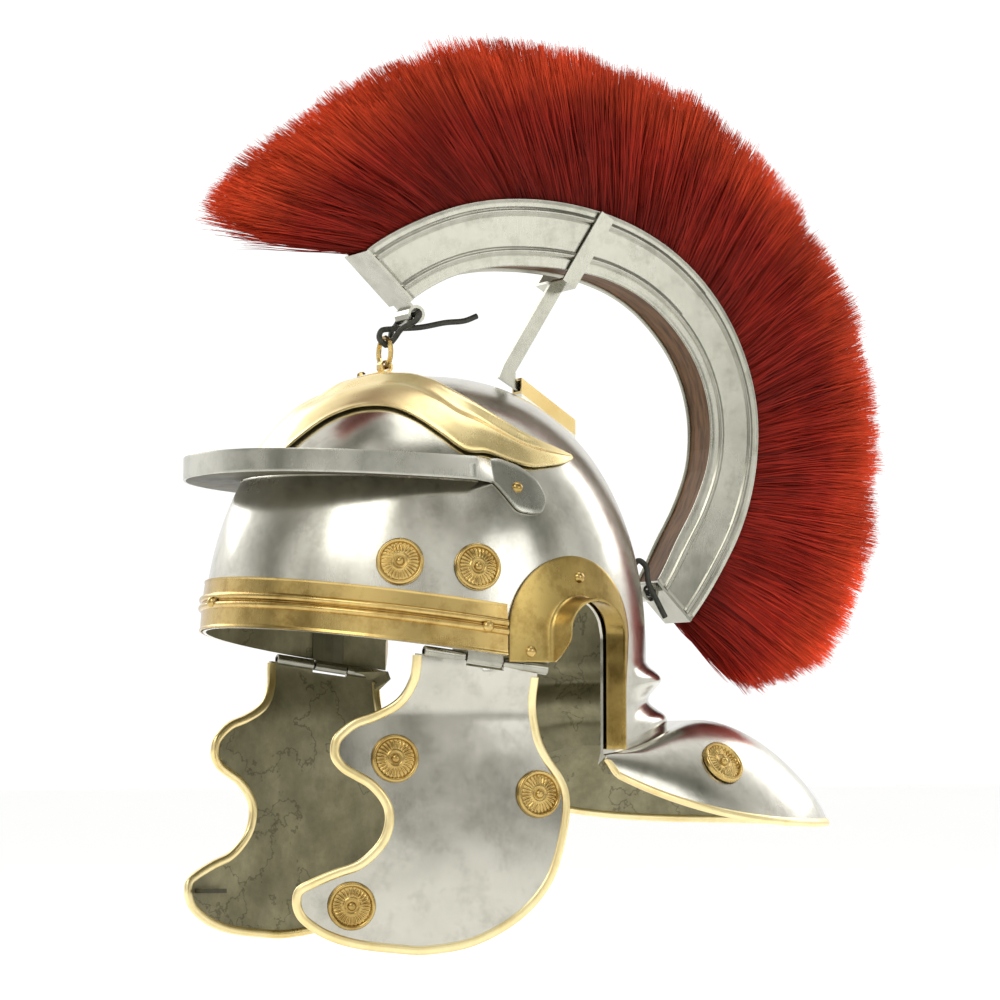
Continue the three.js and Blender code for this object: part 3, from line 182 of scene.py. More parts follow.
brass_bright = metal("bright_brass", (1.0, 0.85, 0.47), (0.88, 0.69, 0.32), rough=(0.20, 0.32), wave=0.12,
                     scratch=0.04, metallic=0.82)
# A darker copy of the polished brass, used on the ear guards.
brass_dark = metal("dark_brass", (0.50, 0.36, 0.12), (0.28, 0.19, 0.055), rough=(0.17, 0.30), wave=0.20,
                   scratch=0.04, patina=0.6)


def dull_inside(name, depth):
    """Dark inner face with rubbed patches and crazed lines. depth scales the whole colour; below 1 the darkening
    is painted shade, as on the peak's underside.
    """
    mat, p = new_material(name)
    cloud = p.noise(scale=22, detail=7, rough=0.68)
    streak = p.noise(scale=60, detail=6, rough=0.7, stretch=(1, 1, 0.4), seed=2.0)
    line = p.noise(scale=17, detail=6, rough=0.6, seed=9.0)
    shades = [(0.3, (0.13, 0.118, 0.060)), (0.5, (0.245, 0.225, 0.125)), (0.72, (0.40, 0.37, 0.23))]
    tone = p.ramp(cloud, [(at, tuple(c * depth for c in colour)) for at, colour in shades])
    streaks = p.ramp(streak, [(0.42, (0.6, 0.6, 0.6)), (0.6, (1, 1, 1))])
    cracks = p.ramp(line, [(0.488, (1, 1, 1)), (0.497, (0.35, 0.33, 0.28)), (0.506, (1, 1, 1))])
    worn = p.mix(0.5, tone, streaks, "MULTIPLY")
    p.look({"Metallic": 0.3, "Base Color": p.mix(0.8, worn, cracks, "MULTIPLY"),
            "Roughness": p.span(streak, 0.42, 0.66, start=0.3, end=0.7)})
    p.bump(streak, strength=0.25, distance=0.001)
    return mat


def oiled_wood():
    mat, p = new_material("oiled_wood")
    grain = p.noise(scale=60, detail=8, rough=0.6, stretch=(6, 1, 1))
    p.look({"Base Color": p.ramp(grain, [(0.35, (0.07, 0.035, 0.014)), (0.6, (0.17, 0.085, 0.035))]),
            "Roughness": 0.6, "Specular IOR Level": 0.2})
    p.bump(grain, strength=0.3, distance=0.001)
    return mat


def thong():
    mat, p = new_material("dark_thong")
    grain = p.noise(scale=350, detail=5, rough=0.7)
    p.look({"Base Color": p.ramp(grain, [(0.3, (0.014, 0.014, 0.009)), (0.7, (0.05, 0.05, 0.034))]),
            "Roughness": 0.55})
    p.bump(grain, strength=0.5, distance=0.0006)
    return mat


CREST_Y, CREST_Z = 55.0, 115.0    # centre of the crest's arc in the side plane


def horsehair(name, root, middle, tip):
    """Strand colour runs from the crest box to the tips, with each strand its own tone, and lower strands are
    brighter: painted light from the floor.
    """
    mat, p = new_material(name)
    coord = p.add("TexCoord", {})["Object"]
    place = p.add("Mapping", {"Location": (0, -CREST_Y * MM, -CREST_Z * MM), "Scale": (0, 1, 1),
                              "Vector": coord})["Vector"]
    distance = p.add("VectorMath", {0: place}, operation="LENGTH")["Value"]
    tone = p.ramp(p.span(distance, 0, 1, start=0.124, end=0.214), [(0.02, root), (0.5, middle), (0.97, tip)])
    shade = p.span(p.add("NewGeometry", {})["Random Per Island"], 0.62, 1.25)
    level = p.add("SeparateXYZ", {0: coord})["Z"]
    # Strands get up to 1.55 times brighter toward the bottom: painted light from the floor.
    tone_and_floor_light = p.math("MULTIPLY", shade, p.span(level, 1.55, 1.0, start=-0.02, end=0.16))
    grey = p.add("CombineColor", {"Red": tone_and_floor_light, "Green": tone_and_floor_light, "Blue": tone_and_floor_light})["Color"]
    clouds = p.noise(scale=26, detail=3, rough=0.6)
    clump = p.ramp(clouds, [(0.38, (0.72, 0.66, 0.66)), (0.62, (1.12, 1.12, 1.1))])
    varied = p.mix(1.0, tone, clump, "MULTIPLY")
    p.look({"Base Color": p.mix(1.0, varied, grey, "MULTIPLY"), "Roughness": 0.6, "Specular IOR Level": 0.12})
    return mat


inside = dull_inside("inner_face", depth=1.0)
# The peak's underside takes the inner face at 0.32 of its brightness: painted shade under the peak.
shadowed = dull_inside("peak_underside_painted_shade", depth=0.32)
hair = horsehair("horsehair", (0.15, 0.009, 0.005), (0.33, 0.020, 0.010), (0.78, 0.085, 0.024))
# A darker copy of the horsehair for the inner mass: painted shade between the strands.
hair_core_shaded = horsehair("horsehair_painted_shade", (0.07, 0.003, 0.002), (0.15, 0.007, 0.004), (0.30, 0.02, 0.01))
wood = oiled_wood()
leather = thong()


# ---- mesh helpers

def smooth(t, low, high):
    u = np.clip((np.asarray(t, float) - low) / (high - low), 0, 1)
    return u * u * (3 - 2 * u)


def spline(xs, table_x, table_y):
    """Smooth curve through a short table."""
    tx, ty = np.asarray(table_x, float), np.asarray(table_y, float)
    slope = np.gradient(ty, tx)
    i = np.clip(np.searchsorted(tx, xs, side="right") - 1, 0, len(tx) - 2)
    h = tx[i + 1] - tx[i]
    t = np.clip((xs - tx[i]) / h, 0, 1)
    a, b = 2 * t ** 3 - 3 * t ** 2 + 1, t ** 3 - 2 * t ** 2 + t
    c, d = -2 * t ** 3 + 3 * t ** 2, t ** 3 - t ** 2
    return a * ty[i] + b * h * slope[i] + c * ty[i + 1] + d * h * slope[i + 1]


def catmull(knots, per_span):
    """Curve through knots, uniform Catmull-Rom, ends held."""
    k = np.asarray(knots, float)
    padded = np.vstack([k[0], k, k[-1]])
    out = []
    for i in range(len(k) - 1):
        p0, p1, p2, p3 = padded[i:i + 4]
        for t in np.linspace(0, 1, per_span, endpoint=False):
            v0, v1 = (p2 - p0) / 2, (p3 - p1) / 2
            cubic, square = 2 * p1 - 2 * p2 + v0 + v1, -3 * p1 + 3 * p2 - 2 * v0 - v1
            out.append(cubic * t ** 3 + square * t ** 2 + v0 * t + p1)
    out.append(k[-1])
    return np.array(out)


def centripetal(knots, per_span):
    """Curve through knots, centripetal Catmull-Rom, with mirrored end points."""
    k = np.asarray(knots, float)
    k = np.vstack([2 * k[0] - k[1], k, 2 * k[-1] - k[-2]])
    out = []
    for i in range(len(k) - 3):
        p0, p1, p2, p3 = k[i:i + 4]
        gaps = [np.linalg.norm(b - a) for a, b in ((p0, p1), (p1, p2), (p2, p3))]
        t0 = 0.0
        t1, t2, t3 = np.cumsum([max(gap, 1e-6) ** 0.5 for gap in gaps])
        for t in np.linspace(t1, t2, per_span, endpoint=False):
            a1 = (t1 - t) / (t1 - t0) * p0 + (t - t0) / (t1 - t0) * p1
            a2 = (t2 - t) / (t2 - t1) * p1 + (t - t1) / (t2 - t1) * p2
            a3 = (t3 - t) / (t3 - t2) * p2 + (t - t2) / (t3 - t2) * p3
            b1 = (t2 - t) / (t2 - t0) * a1 + (t - t0) / (t2 - t0) * a2
            b2 = (t3 - t) / (t3 - t1) * a2 + (t - t1) / (t3 - t1) * a3
            out.append((t2 - t) / (t2 - t1) * b1 + (t - t1) / (t2 - t1) * b2)
    out.append(k[-2])
    return np.array(out)


def respace(points, count):
    """The same line with its points at equal distances."""
    step = np.linalg.norm(np.diff(points, axis=0), axis=1)
    run = np.concatenate([[0], np.cumsum(step)])
    at = np.linspace(0, run[-1], count)
    return np.stack([np.interp(at, run, points[:, k]) for k in range(points.shape[1])], 1)


def unit(v):
    return v / np.maximum(np.linalg.norm(v, axis=-1, keepdims=True), 1e-12)


def build(name, verts, faces, materials, body="helmet", angle=40):
    mesh = bpy.data.meshes.new(name)
    mesh.from_pydata([tuple(v) for v in np.asarray(verts) * MM], [], [tuple(int(i) for i in f) for f in faces])
    mesh.update()
    for mat in materials:
        mesh.materials.append(mat)
    obj = placed(name, mesh)
    mesh.shade_smooth()
    if angle:
        mesh.set_sharp_from_angle(angle=math.radians(angle))
    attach(obj, body)
    return obj


def grid_faces(rows, columns, closed=False):
    faces = []
    for i in range(rows - 1):
        here, above = i * columns, (i + 1) * columns
        for j in range(columns if closed else columns - 1):
            k = (j + 1) % columns
            faces.append((here + j, here + k, above + k, above + j))
    return faces


def bake(obj):
    """Turns the modifiers into plain mesh."""
    graph = bpy.context.evaluated_depsgraph_get()
    done = bpy.data.meshes.new_from_object(obj.evaluated_get(graph))
    obj.modifiers.clear()
    obj.data = done


def mend(obj, step):
    """Runs one bmesh step on a plain mesh."""
    bm = bmesh.new()
    bm.from_mesh(obj.data)
    step(bm)
    bm.to_mesh(obj.data)
    bm.free()


def sheet(name, grids, outward, thick, materials, body="helmet", offset=-1.0, replaces=(), angle=40,
          extra=None, bevel=0.0):
    """Sheet metal from point grids; its normals turn to the side where outward(centre) points."""
    bm = bmesh.new()
    for g in grids:
        vs = [bm.verts.new(p) for p in g.reshape(-1, 3)]
        for f in grid_faces(*g.shape[:2]):
            if len({tuple(np.round(vs[i].co, 4)) for i in f}) >= 3:
                bm.faces.new([vs[i] for i in f])
    if extra:
        points, faces = extra
        vs = [bm.verts.new(p) for p in points]
        for f in faces:
            bm.faces.new([vs[i] for i in f])
    bmesh.ops.remove_doubles(bm, verts=bm.verts, dist=0.02)
    bmesh.ops.dissolve_degenerate(bm, dist=0.005, edges=bm.edges)
    bmesh.ops.recalc_face_normals(bm, faces=bm.faces)
    bm.normal_update()
    votes = sum(np.dot(outward(np.array(f.calc_center_median())), f.normal) * f.calc_area() for f in bm.faces)
    if votes < 0:
        bmesh.ops.reverse_faces(bm, faces=bm.faces)
    for v in bm.verts:
        v.co *= MM
    mesh = bpy.data.meshes.new(name)
    bm.to_mesh(mesh)
    bm.free()
    for mat in materials:
        mesh.materials.append(mat)
    obj = placed(name, mesh)
    solid = obj.modifiers.new("thickness", "SOLIDIFY")
    solid.thickness = thick * MM
    solid.offset = offset
    solid.use_even_offset = True
    if len(materials) > 1:
        solid.material_offset = 1
    if bevel:
        edge = obj.modifiers.new("edge", "BEVEL")
        edge.width = bevel * MM
        edge.segments = 2
        edge.angle_limit = math.radians(50)
    bake(obj)
    obj.data.shade_smooth()
    obj.data.set_sharp_from_angle(angle=math.radians(angle))
    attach(obj, body)
    if replaces:
        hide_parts(*replaces)


def swept(name, rings, materials, body="helmet", replaces=(), angle=40):
    """A closed section carried through stations and capped: rings is (stations, points, 3)."""
    n, m = rings.shape[:2]
    faces = grid_faces(n, m, closed=True)
    faces.append(tuple(range(m)))
    faces.append(tuple((n - 1) * m + i for i in reversed(range(m))))
    obj = build(name, rings.reshape(-1, 3), faces, materials, body, angle=None)
    mend(obj, lambda bm: bmesh.ops.recalc_face_normals(bm, faces=bm.faces))
    obj.data.set_sharp_from_angle(angle=math.radians(angle))
    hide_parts(*replaces)


def flip(points):
    """The mirror image on the other side of the helmet."""
    return np.asarray(points) * np.array([-1.0, 1.0, 1.0])


SIDES = (("left", np.asarray, 1), ("right", flip, -1))


# ---- bowl surface

HALF_X, HALF_Y, TOP, MID_Y, ROUND = 102.0, 115.5, 146.0, -4.0, 2.25
RIM_SLOPE = -0.131
EAR_Y, EAR_Z, EAR_R = 35.0, 12.0, 17.5
EAR_FRONT, EAR_REAR = EAR_Y - EAR_R, EAR_Y + EAR_R
# neck guard: drop of its crease at the ear and at the nape, depth of the nape folds, height of the guard's dome
DROP_SIDE, DROP_NAPE, FOLD_OUT, GUARD_LIFT, GUARD_LENGTH = 47, 37, 11.3, 23, 85


def dome_share(z):
    h = np.clip(np.asarray(z, float) / TOP, 0, 1)
    return (1 - h ** ROUND) ** (1 / ROUND)


def dome_normal(p):
    x, y, z = p[..., 0], p[..., 1] - MID_Y, p[..., 2]
    share = np.maximum(np.hypot(x / HALF_X, y / HALF_Y), 1e-6)
    lift = (np.clip(z, 0, None) / TOP) ** (ROUND - 1) / TOP
    level = share ** (ROUND - 2)
    return unit(np.stack([level * x / HALF_X ** 2, level * y / HALF_Y ** 2, lift], -1))


def floats(*values):
    return np.broadcast_arrays(*(np.asarray(v, float) for v in values))


def on_dome(bearing, z, out=0.0):
    """Point at a bearing from the front and a height, out along the normal."""
    bearing, z, out = floats(bearing, z, out)
    share, a = dome_share(z), np.radians(bearing)
    p = np.stack([HALF_X * share * np.sin(a), MID_Y - HALF_Y * share * np.cos(a), z], -1)
    return p + dome_normal(p) * out[..., None]


def on_side(y, z, out=0.0):
    y, z, out = floats(y, z, out)
    share = dome_share(z)
    along = np.clip((y - MID_Y) / (HALF_Y * share), -1, 1)
    p = np.stack([HALF_X * share * np.sqrt(1 - along ** 2), y, z], -1)
    return p + dome_normal(p) * out[..., None]


def rim_z(y):
    return RIM_SLOPE * np.asarray(y, float)


def bearing_of(y):
    return math.degrees(math.acos((MID_Y - y) / HALF_Y))


CORNER = bearing_of(EAR_REAR) - 1
FOLDS = [(0, 0), (0.06, 0.14), (0.13, 0.42), (0.2, 0.64), (0.27, 0.66), (0.36, 0.42), (0.47, 0.14), (0.55, 0.12),
         (0.64, 0.44), (0.72, 0.82), (0.79, 0.94), (0.88, 0.92), (0.94, 0.95), (1, 1)]


def nape_share(bearing):
    """0 beside the ear, 1 at the nape."""
    return float(smooth(bearing, CORNER + 9, CORNER + 36))


def crease_drop(bearing):
    return DROP_SIDE + (DROP_NAPE - DROP_SIDE) * nape_share(bearing)


def crease_point(bearing):
    p = on_dome(bearing, 0.0, FOLD_OUT * nape_share(bearing))
    return np.array([p[0], p[1], -crease_drop(bearing)])


def guard_rim(bearing):
    """Outer edge of the neck guard: a rounded plan that sinks toward the back."""
    share = np.clip((bearing - CORNER) / (180 - CORNER), 0, 1)
    turn = share * math.pi / 2
    half_width, length, power = 103, 167, 2 / 2.35
    inset = 11 * (1 - min(1, share / 0.45)) ** 2
    back = math.sin(turn) ** power
    x = (half_width - inset) * abs(math.cos(turn)) ** power
    return np.array([x, EAR_REAR - 2 + length * back, -53.5 - 29.5 * (1 - (1 - back) ** 3)])


def guard_lift(length, row):
    """Height of the guard's dome over the straight line from crease to rim."""
    return GUARD_LIFT * np.minimum(1, length / GUARD_LENGTH) * (4 * row * (1 - row)) ** 0.7


def dome_levels(low, count):
    last = math.acos(max(low, 0.0) ** (ROUND / 2) / TOP ** (ROUND / 2)) / (math.pi / 2)
    u = np.linspace(0, last, count + 1)
    return TOP * np.cos(u * math.pi / 2) ** (2 / ROUND)


def bowl_grids(upper=40, lower=7):
    """Point grids of the half bowl at x > 0: before the ear, over the ear, behind it with the neck guard."""
    columns = []
    for b in np.linspace(0, bearing_of(EAR_FRONT), 52):
        rim = float(rim_z(on_dome(b, 0.0)[1]))
        mark = rim + EAR_Z - float(rim_z(EAR_FRONT))
        below = np.linspace(mark, rim, lower + 1)[1:]
        columns.append(on_dome(b, np.concatenate([dome_levels(mark, upper), below])))
    grids = [np.array(columns)]
    columns = []
    for b in np.linspace(bearing_of(EAR_FRONT), bearing_of(EAR_REAR), 28):
        y = float(on_dome(b, 0.0)[1])
        arch = EAR_Z + math.sqrt(max(0.0, EAR_R ** 2 - (y - EAR_Y) ** 2))
        columns.append(on_dome(b, dome_levels(arch, upper)))
    grids.append(np.array(columns))
    columns = []
    rows = np.linspace(0, 1, 45)
    nape = spline(rows, *zip(*FOLDS))
    reach = np.linspace(0, 1, 41)[1:] ** 1.4
    for b in np.linspace(bearing_of(EAR_REAR), 180, 48):
        high = on_dome(b, np.concatenate([dome_levels(EAR_Z, upper), np.linspace(EAR_Z, 0, 6)[1:-1]]))
        wall = on_dome(b, 0.0, FOLD_OUT * nape * nape_share(b))
        wall[:, 2] = -crease_drop(b) * rows
        crease, rim = wall[-1], guard_rim(b)
        guard = crease + (rim - crease) * reach[:, None]
        guard[:, 2] += guard_lift(math.hypot(rim[0] - crease[0], rim[1] - crease[1]), reach)
        columns.append(np.vstack([high, wall, guard]))
    return grids + [np.array(columns)]


def bowl_outward(c):
    if c[2] > -30:
        return np.array([c[0], c[1] - MID_Y, max(c[2], 0.0)])
    return np.array([0.0, 0.0, 1.0]) if c[1] > 100 else np.array([c[0], 0.0, 10.0])


near_grids = bowl_grids()
sheet("bowl_form", near_grids + [flip(g) for g in near_grids], bowl_outward, 1.6, [steel, inside],
      replaces=("bowl",), angle=50)


TRIM_WIDTH, TRIM_HEIGHT, TRIM_OVERHANG = 2.35, 1.75, 1.25


def oval(count, width, height, power=2.4):
    t = np.linspace(0, 2 * math.pi, count, endpoint=False)
    c, s = np.cos(t), np.sin(t)
    return np.stack([width * np.sign(c) * np.abs(c) ** (2 / power),
                     height * np.sign(s) * np.abs(s) ** (2 / power)], 1)


def trim(name, path, outdir, normal, body, replaces):
    """Folded brass edging as a rounded section along a sheet's edge."""
    sec = oval(18, TRIM_WIDTH, TRIM_HEIGHT)
    d = unit(outdir - (outdir * normal).sum(-1, keepdims=True) * normal)
    centre = path + d * (TRIM_OVERHANG - TRIM_WIDTH)
    rings = centre[:, None, :] + d[:, None, :] * sec[None, :, :1] + normal[:, None, :] * sec[None, :, 1:]
    swept(name, rings, [brass_pale], body, replaces)


def make_neck_edging():
    bearings = np.linspace(CORNER + 1.2, 180, 70)
    rim = np.array([guard_rim(b) for b in bearings])
    crease = np.array([crease_point(b) for b in bearings])
    length = np.linalg.norm((rim - crease)[:, :2], axis=1)
    inboard = crease + (rim - crease) * 0.93
    inboard[:, 2] += guard_lift(length, 0.93)
    rows = np.array([0.25, 0.5, 0.72, 0.88])
    start = crease[0] + (rim[0] - crease[0]) * rows[:, None]
    behind = start + (inboard[6] - inboard[0]) * 0.8 + (crease[6] - crease[0]) * 0.2
    inboard = np.vstack([behind, inboard])
    rim = np.vstack([start, rim])
    rim = np.vstack([rim, flip(rim[:-1])[::-1]])
    inboard = np.vstack([inboard, flip(inboard[:-1])[::-1]])
    along = unit(np.gradient(rim, axis=0))
    d = unit(rim - inboard)
    n = unit(np.cross(d, along))
    n[n[:, 2] < 0] *= -1
    trim("neck_edging_form", rim - n * 0.8, d, n, "helmet", ("neck_guard_edging",))


make_neck_edging()


# ---- brow band

BAND_HEIGHT, BAND_FOOT, BAND_END, BEAD_HALF = 24.8, 0.3, 88.7, 1.7


def make_band():
    bearings = np.linspace(-BAND_END, BAND_END, 145)
    up = np.linspace(0, BAND_HEIGHT, 66)
    out = np.full_like(up, 1.0)
    for centre in (0.46 * BAND_HEIGHT, 0.63 * BAND_HEIGHT):
        d = np.clip(1 - ((up - centre) / BEAD_HALF) ** 2, 0, None)
        out = np.maximum(out, 1.0 + BEAD_HALF * np.sqrt(d))
    out += 0.5 * smooth(up, 1.8, 0.4) + 0.35 * smooth(up, 23.6, 24.6)
    base = rim_z(on_dome(bearings, 0.0)[:, 1]) + BAND_FOOT
    g = on_dome(bearings[:, None], base[:, None] + up[None, :], 0.4 + out[None, :])
    sheet("brow_band_form", [g], lambda c: np.array([c[0], c[1], 0]), 1.0, [brass, brass],
          replaces=("brow_band",))


make_band()


# ---- ear guards

def make_ear_guards():
    foot = float(rim_z(EAR_FRONT)) + 0.4
    face_r, shift, depth, lean_front, end = 38.5, -2.5, 13.5, 22, -44.5
    lip, gap, fold_top = 2.2, 1.3, 3.4
    rows = []
    for t in np.linspace(0, 1, 14, endpoint=False):
        z = foot + (EAR_Z - foot) * t
        rise = depth * (0.3 + 0.7 * math.sin(t * math.pi / 2))
        rows.append((EAR_FRONT, z, EAR_Y + shift - face_r, z, 1, 0, lean_front, rise))
    for t in np.linspace(0, 1, 61):
        a = math.pi * (1 - t)
        c, s = math.cos(a), math.sin(a)
        rows.append((EAR_Y + EAR_R * c, EAR_Z + EAR_R * s, EAR_Y + shift + face_r * c, EAR_Z + face_r * s,
                     -c, -s, lean_front * (1 - t), depth))
    for t in np.linspace(0, 1, 25)[1:]:
        z = EAR_Z + (end - EAR_Z) * t
        rows.append((EAR_REAR, z, EAR_REAR + (shift + face_r - EAR_R) * (1 - 0.28 * t), z, -1, 0, 0, depth))
    rows = np.array(rows, float)
    root, edge, inward = rows[:, :2], rows[:, 2:4], rows[:, 4:6]
    lean, flange = np.radians(rows[:, 6]), rows[:, 7]
    t = np.linspace(0, 1, 14)
    turn_in = root - inward * lip
    flat = edge[:, None, :] * (1 - t[None, :, None]) + turn_in[:, None, :] * t[None, :, None]
    face = on_side(flat[..., 0], flat[..., 1], gap)
    base = on_side(root[:, 0], root[:, 1])
    normal = dome_normal(base)
    toward = np.concatenate([np.zeros((len(root), 1)), inward], 1)
    toward = unit(toward - (toward * normal).sum(-1, keepdims=True) * normal)
    rise = normal * np.cos(lean)[:, None] + toward * np.sin(lean)[:, None]
    fold_start = on_side(turn_in[:, 0], turn_in[:, 1], gap)
    corner = base + normal * gap - toward * 0.6
    fold_end = base - toward * 0.6 + rise * fold_top
    s = np.linspace(0, 1, 7)[1:]
    fold = [(1 - u) ** 2 * fold_start + 2 * u * (1 - u) * corner + u * u * fold_end for u in s]
    wall = [fold_end + rise * ((flange - fold_top) * u)[:, None] for u in np.linspace(0, 1, 9)[1:]]
    g = np.concatenate([face, np.stack(fold, 1), np.stack(wall, 1)], 1)
    for side, turn, k in SIDES:
        sheet(f"ear_guard_form_{side}", [turn(g)], lambda c, k=k: np.array([k, 0, 0]), 1.2, [brass_dark],
              offset=0.0, replaces=(f"ear_guard_{side}",), angle=50, bevel=0.3)


make_ear_guards()


# ---- peak

PEAK_X, PEAK_Y, PEAK_MID, PEAK_RISE = 95, 126, -3, 11.5
LEAF_START, LEAF_LENGTH = -7, 27.5


def peak_z(y):
    return 86.3 - 0.041 * y


def peak_plan(bearing, inset):
    c, s = np.cos(np.radians(bearing)), np.sin(np.radians(bearing))
    power = 2 / 2.28
    x = (PEAK_X - inset) * np.sign(s) * np.abs(s) ** power
    y = PEAK_MID - (PEAK_Y - inset) * np.sign(c) * np.abs(c) ** power
    return np.stack([x, y, peak_z(y)], -1)


# along the temple leaf: y, middle and half height as shares of the flange
LEAF = [(-7, 0.45, 0.5), (-2, 0.2, 0.8), (3, -0.12, 1.02), (9, -0.28, 1), (14, -0.42, 0.85), (18, -0.52, 0.6),
        (20.5, -0.58, 0.12)]


def make_peak():
    bearings = np.linspace(-84, 84, 141)
    v = np.linspace(0, 1, 9)
    low = peak_plan(bearings, 0.7)
    front = low[:, None, :] + np.array([0, 0, PEAK_RISE]) * v[None, :, None]
    ys, middle, half = (np.array(c, float) for c in zip(*LEAF))
    yy = np.concatenate([[LEAF_START], LEAF_START + LEAF_LENGTH * np.linspace(0.03, 1, 34) ** 0.9])
    centre = peak_z(yy) + spline(yy, ys, middle) * PEAK_RISE
    reach = np.maximum(spline(yy, ys, half), 0.05) * PEAK_RISE
    leaf = on_side(yy[:, None], centre[:, None] + reach[:, None] * (2 * v[None, :] - 1), 1.1)
    bridge = [front[-1] * (1 - u) + leaf[0] * u for u in smooth(np.linspace(0, 1, 8), 0, 1)[1:-1]]
    flange = np.concatenate([flip(leaf)[::-1], flip(np.array(bridge))[::-1], front, np.array(bridge), leaf])
    inner = on_dome(bearings, low[:, 2], 0.9)
    inner[:, 2] = low[:, 2]
    t = np.linspace(0, 1, 8)
    shelf = low[:, None, :] * (1 - t[None, :, None]) + inner[:, None, :] * t[None, :, None]
    shelf[..., 2] += 0.7
    sheet("peak_form", [flange], lambda c: np.array([c[0], c[1], 0]), 1.4, [steel_peak, shadowed],
          offset=0.0, replaces=("peak",), bevel=0.35)
    sheet("peak_shelf", [shelf], lambda c: np.array([0, 0, 1.0]), 1.4, [steel_peak, shadowed], offset=0.0)


make_peak()


# ---- eyebrow plate

# bearing, lower and upper edge as shares of the dome's height
BROW = [(0, 0.685, 0.969), (13, 0.69, 0.974), (18, 0.745, 0.976), (25, 0.81, 0.978), (34, 0.846, 0.98),
        (45, 0.857, 0.978), (56, 0.845, 0.975), (66, 0.805, 0.964), (74, 0.75, 0.948), (81, 0.695, 0.918),
        (88, 0.69, 0.878), (95, 0.665, 0.83), (102, 0.648, 0.782), (110, 0.656, 0.745), (117, 0.668, 0.722),
        (124, 0.688, 0.7)]


def make_brow_plate():
    b, low, high = (np.array(c, float) for c in zip(*BROW))
    bearing = np.linspace(0, b[-1], 160)
    t0, t1 = (spline(bearing, b, np.arcsin(share ** (ROUND / 2))) for share in (low, high))
    row = np.linspace(0, 1, 40)
    turn = t0[:, None] + (t1 - t0)[:, None] * row
    z = TOP * np.sin(turn) ** (2 / ROUND)
    wide = np.clip((t1 - t0) / 0.22, 0, 1)[:, None]
    flute = spline(row, [0, 0.2, 0.4, 0.46, 0.52, 0.64, 0.74, 0.86, 0.95, 1],
                   [0.1, 0.9, 1.7, 1.75, 1.0, 0.35, 1.1, 2.1, 1.5, 0.3])
    rise = (0.4 * smooth(row, 0.06, 0.0) + flute) * wide
    centre_dip = 0.9 * np.exp(-(bearing[:, None] / 2.2) ** 2)
    g = on_dome(bearing[:, None], z, 2.0 + rise - centre_dip)
    both = np.concatenate([flip(g)[::-1][:-1], g])
    sheet("eyebrow_plate_form", [both], lambda c: c - np.array([0, MID_Y, 0]), 1.1, [brass_bright],
          replaces=("eyebrow_plate",), bevel=0.25)


make_brow_plate()


# ---- cheek pieces

CHEEK_Y, CHEEK_L, CHEEK_D = -107.0, 137.6, 143.6
CHEEK_X, CHEEK_WRAP, CHEEK_BEND, FLAT_REAR = 98.5, 24.5, 28, 12
# outline from the front of the hinge down and round to its rear: shares of length and depth
KNOTS = [(0.393, 0.05), (0.371, 0.11), (0.337, 0.15), (0.27, 0.185), (0.204, 0.208), (0.157, 0.242),
         (0.128, 0.279), (0.1235, 0.336), (0.154, 0.382), (0.2, 0.411), (0.247, 0.439), (0.2885, 0.486),
         (0.304, 0.533), (0.294, 0.59), (0.264, 0.6365), (0.209, 0.683), (0.1345, 0.71), (0.06, 0.743),
         (0.012, 0.772), (0, 0.812), (0.0085, 0.858), (0.0385, 0.898), (0.112, 0.945), (0.2145, 0.977),
         (0.359, 0.995), (0.4595, 1), (0.6125, 0.979), (0.749, 0.924), (0.856, 0.85), (0.933, 0.756),
         (0.976, 0.643), (1, 0.527), (0.9955, 0.452), (0.967, 0.394), (0.924, 0.336), (0.893, 0.278),
         (0.8785, 0.212), (0.87, 0.135), (0.871, 0.085)]


def cheek_x(y, z):
    wrap = np.clip((CHEEK_Y + CHEEK_L - FLAT_REAR - y) / CHEEK_L, 0, 1.2)
    fold = smooth(-z / CHEEK_BEND, 0, 1)
    belly = np.clip((-z - CHEEK_BEND) / (CHEEK_D - CHEEK_BEND), 0, 1)
    rear = np.maximum(0, y - (CHEEK_Y + CHEEK_L - FLAT_REAR))
    curl = CHEEK_WRAP * 1.2 * wrap ** 2.6
    return CHEEK_X - curl - 5 * fold + 2.5 * np.sin(math.pi * belly) - 0.004 * rear ** 2


def cheek_normal(y, z):
    s = 0.5
    dy = (cheek_x(y + s, z) - cheek_x(y - s, z)) / (2 * s)
    dz = (cheek_x(y, z + s) - cheek_x(y, z - s)) / (2 * s)
    return unit(np.stack([np.ones_like(dy), -dy, -dz], -1))


def cheek_point(along, down):
    return CHEEK_Y + CHEEK_L * along, -CHEEK_D * down


HINGE_A, HINGE_B = np.array([94.0, -47.5, 3.0225]), np.array([98.1, 17.0, -5.427])
SPLITS = (0.333, 0.628)


def hinge_at(share):
    return HINGE_A + (HINGE_B - HINGE_A) * share


def cylinder(a, b, radius, bore, sides=24):
    """Points and faces of a round tube with softened ends."""
    axis = unit(b - a)
    u = unit(np.cross(axis, [0, 0, 1.0]))
    w = np.cross(axis, u)
    length = np.linalg.norm(b - a)
    soft = min(0.4, radius * 0.3)
    profile = [(bore, 0), (radius - soft, 0), (radius, soft), (radius, length - soft), (radius - soft, length),
               (bore, length)]
    t = np.linspace(0, 2 * math.pi, sides, endpoint=False)
    points = np.concatenate([a + axis * d + r * (np.cos(t)[:, None] * u + np.sin(t)[:, None] * w)
                             for r, d in profile])
    faces = grid_faces(len(profile), sides, closed=True)
    return points, faces


def hinge_edge(y):
    """Height of the hinge line over the plate."""
    return float(rim_z(y)) - 3.2


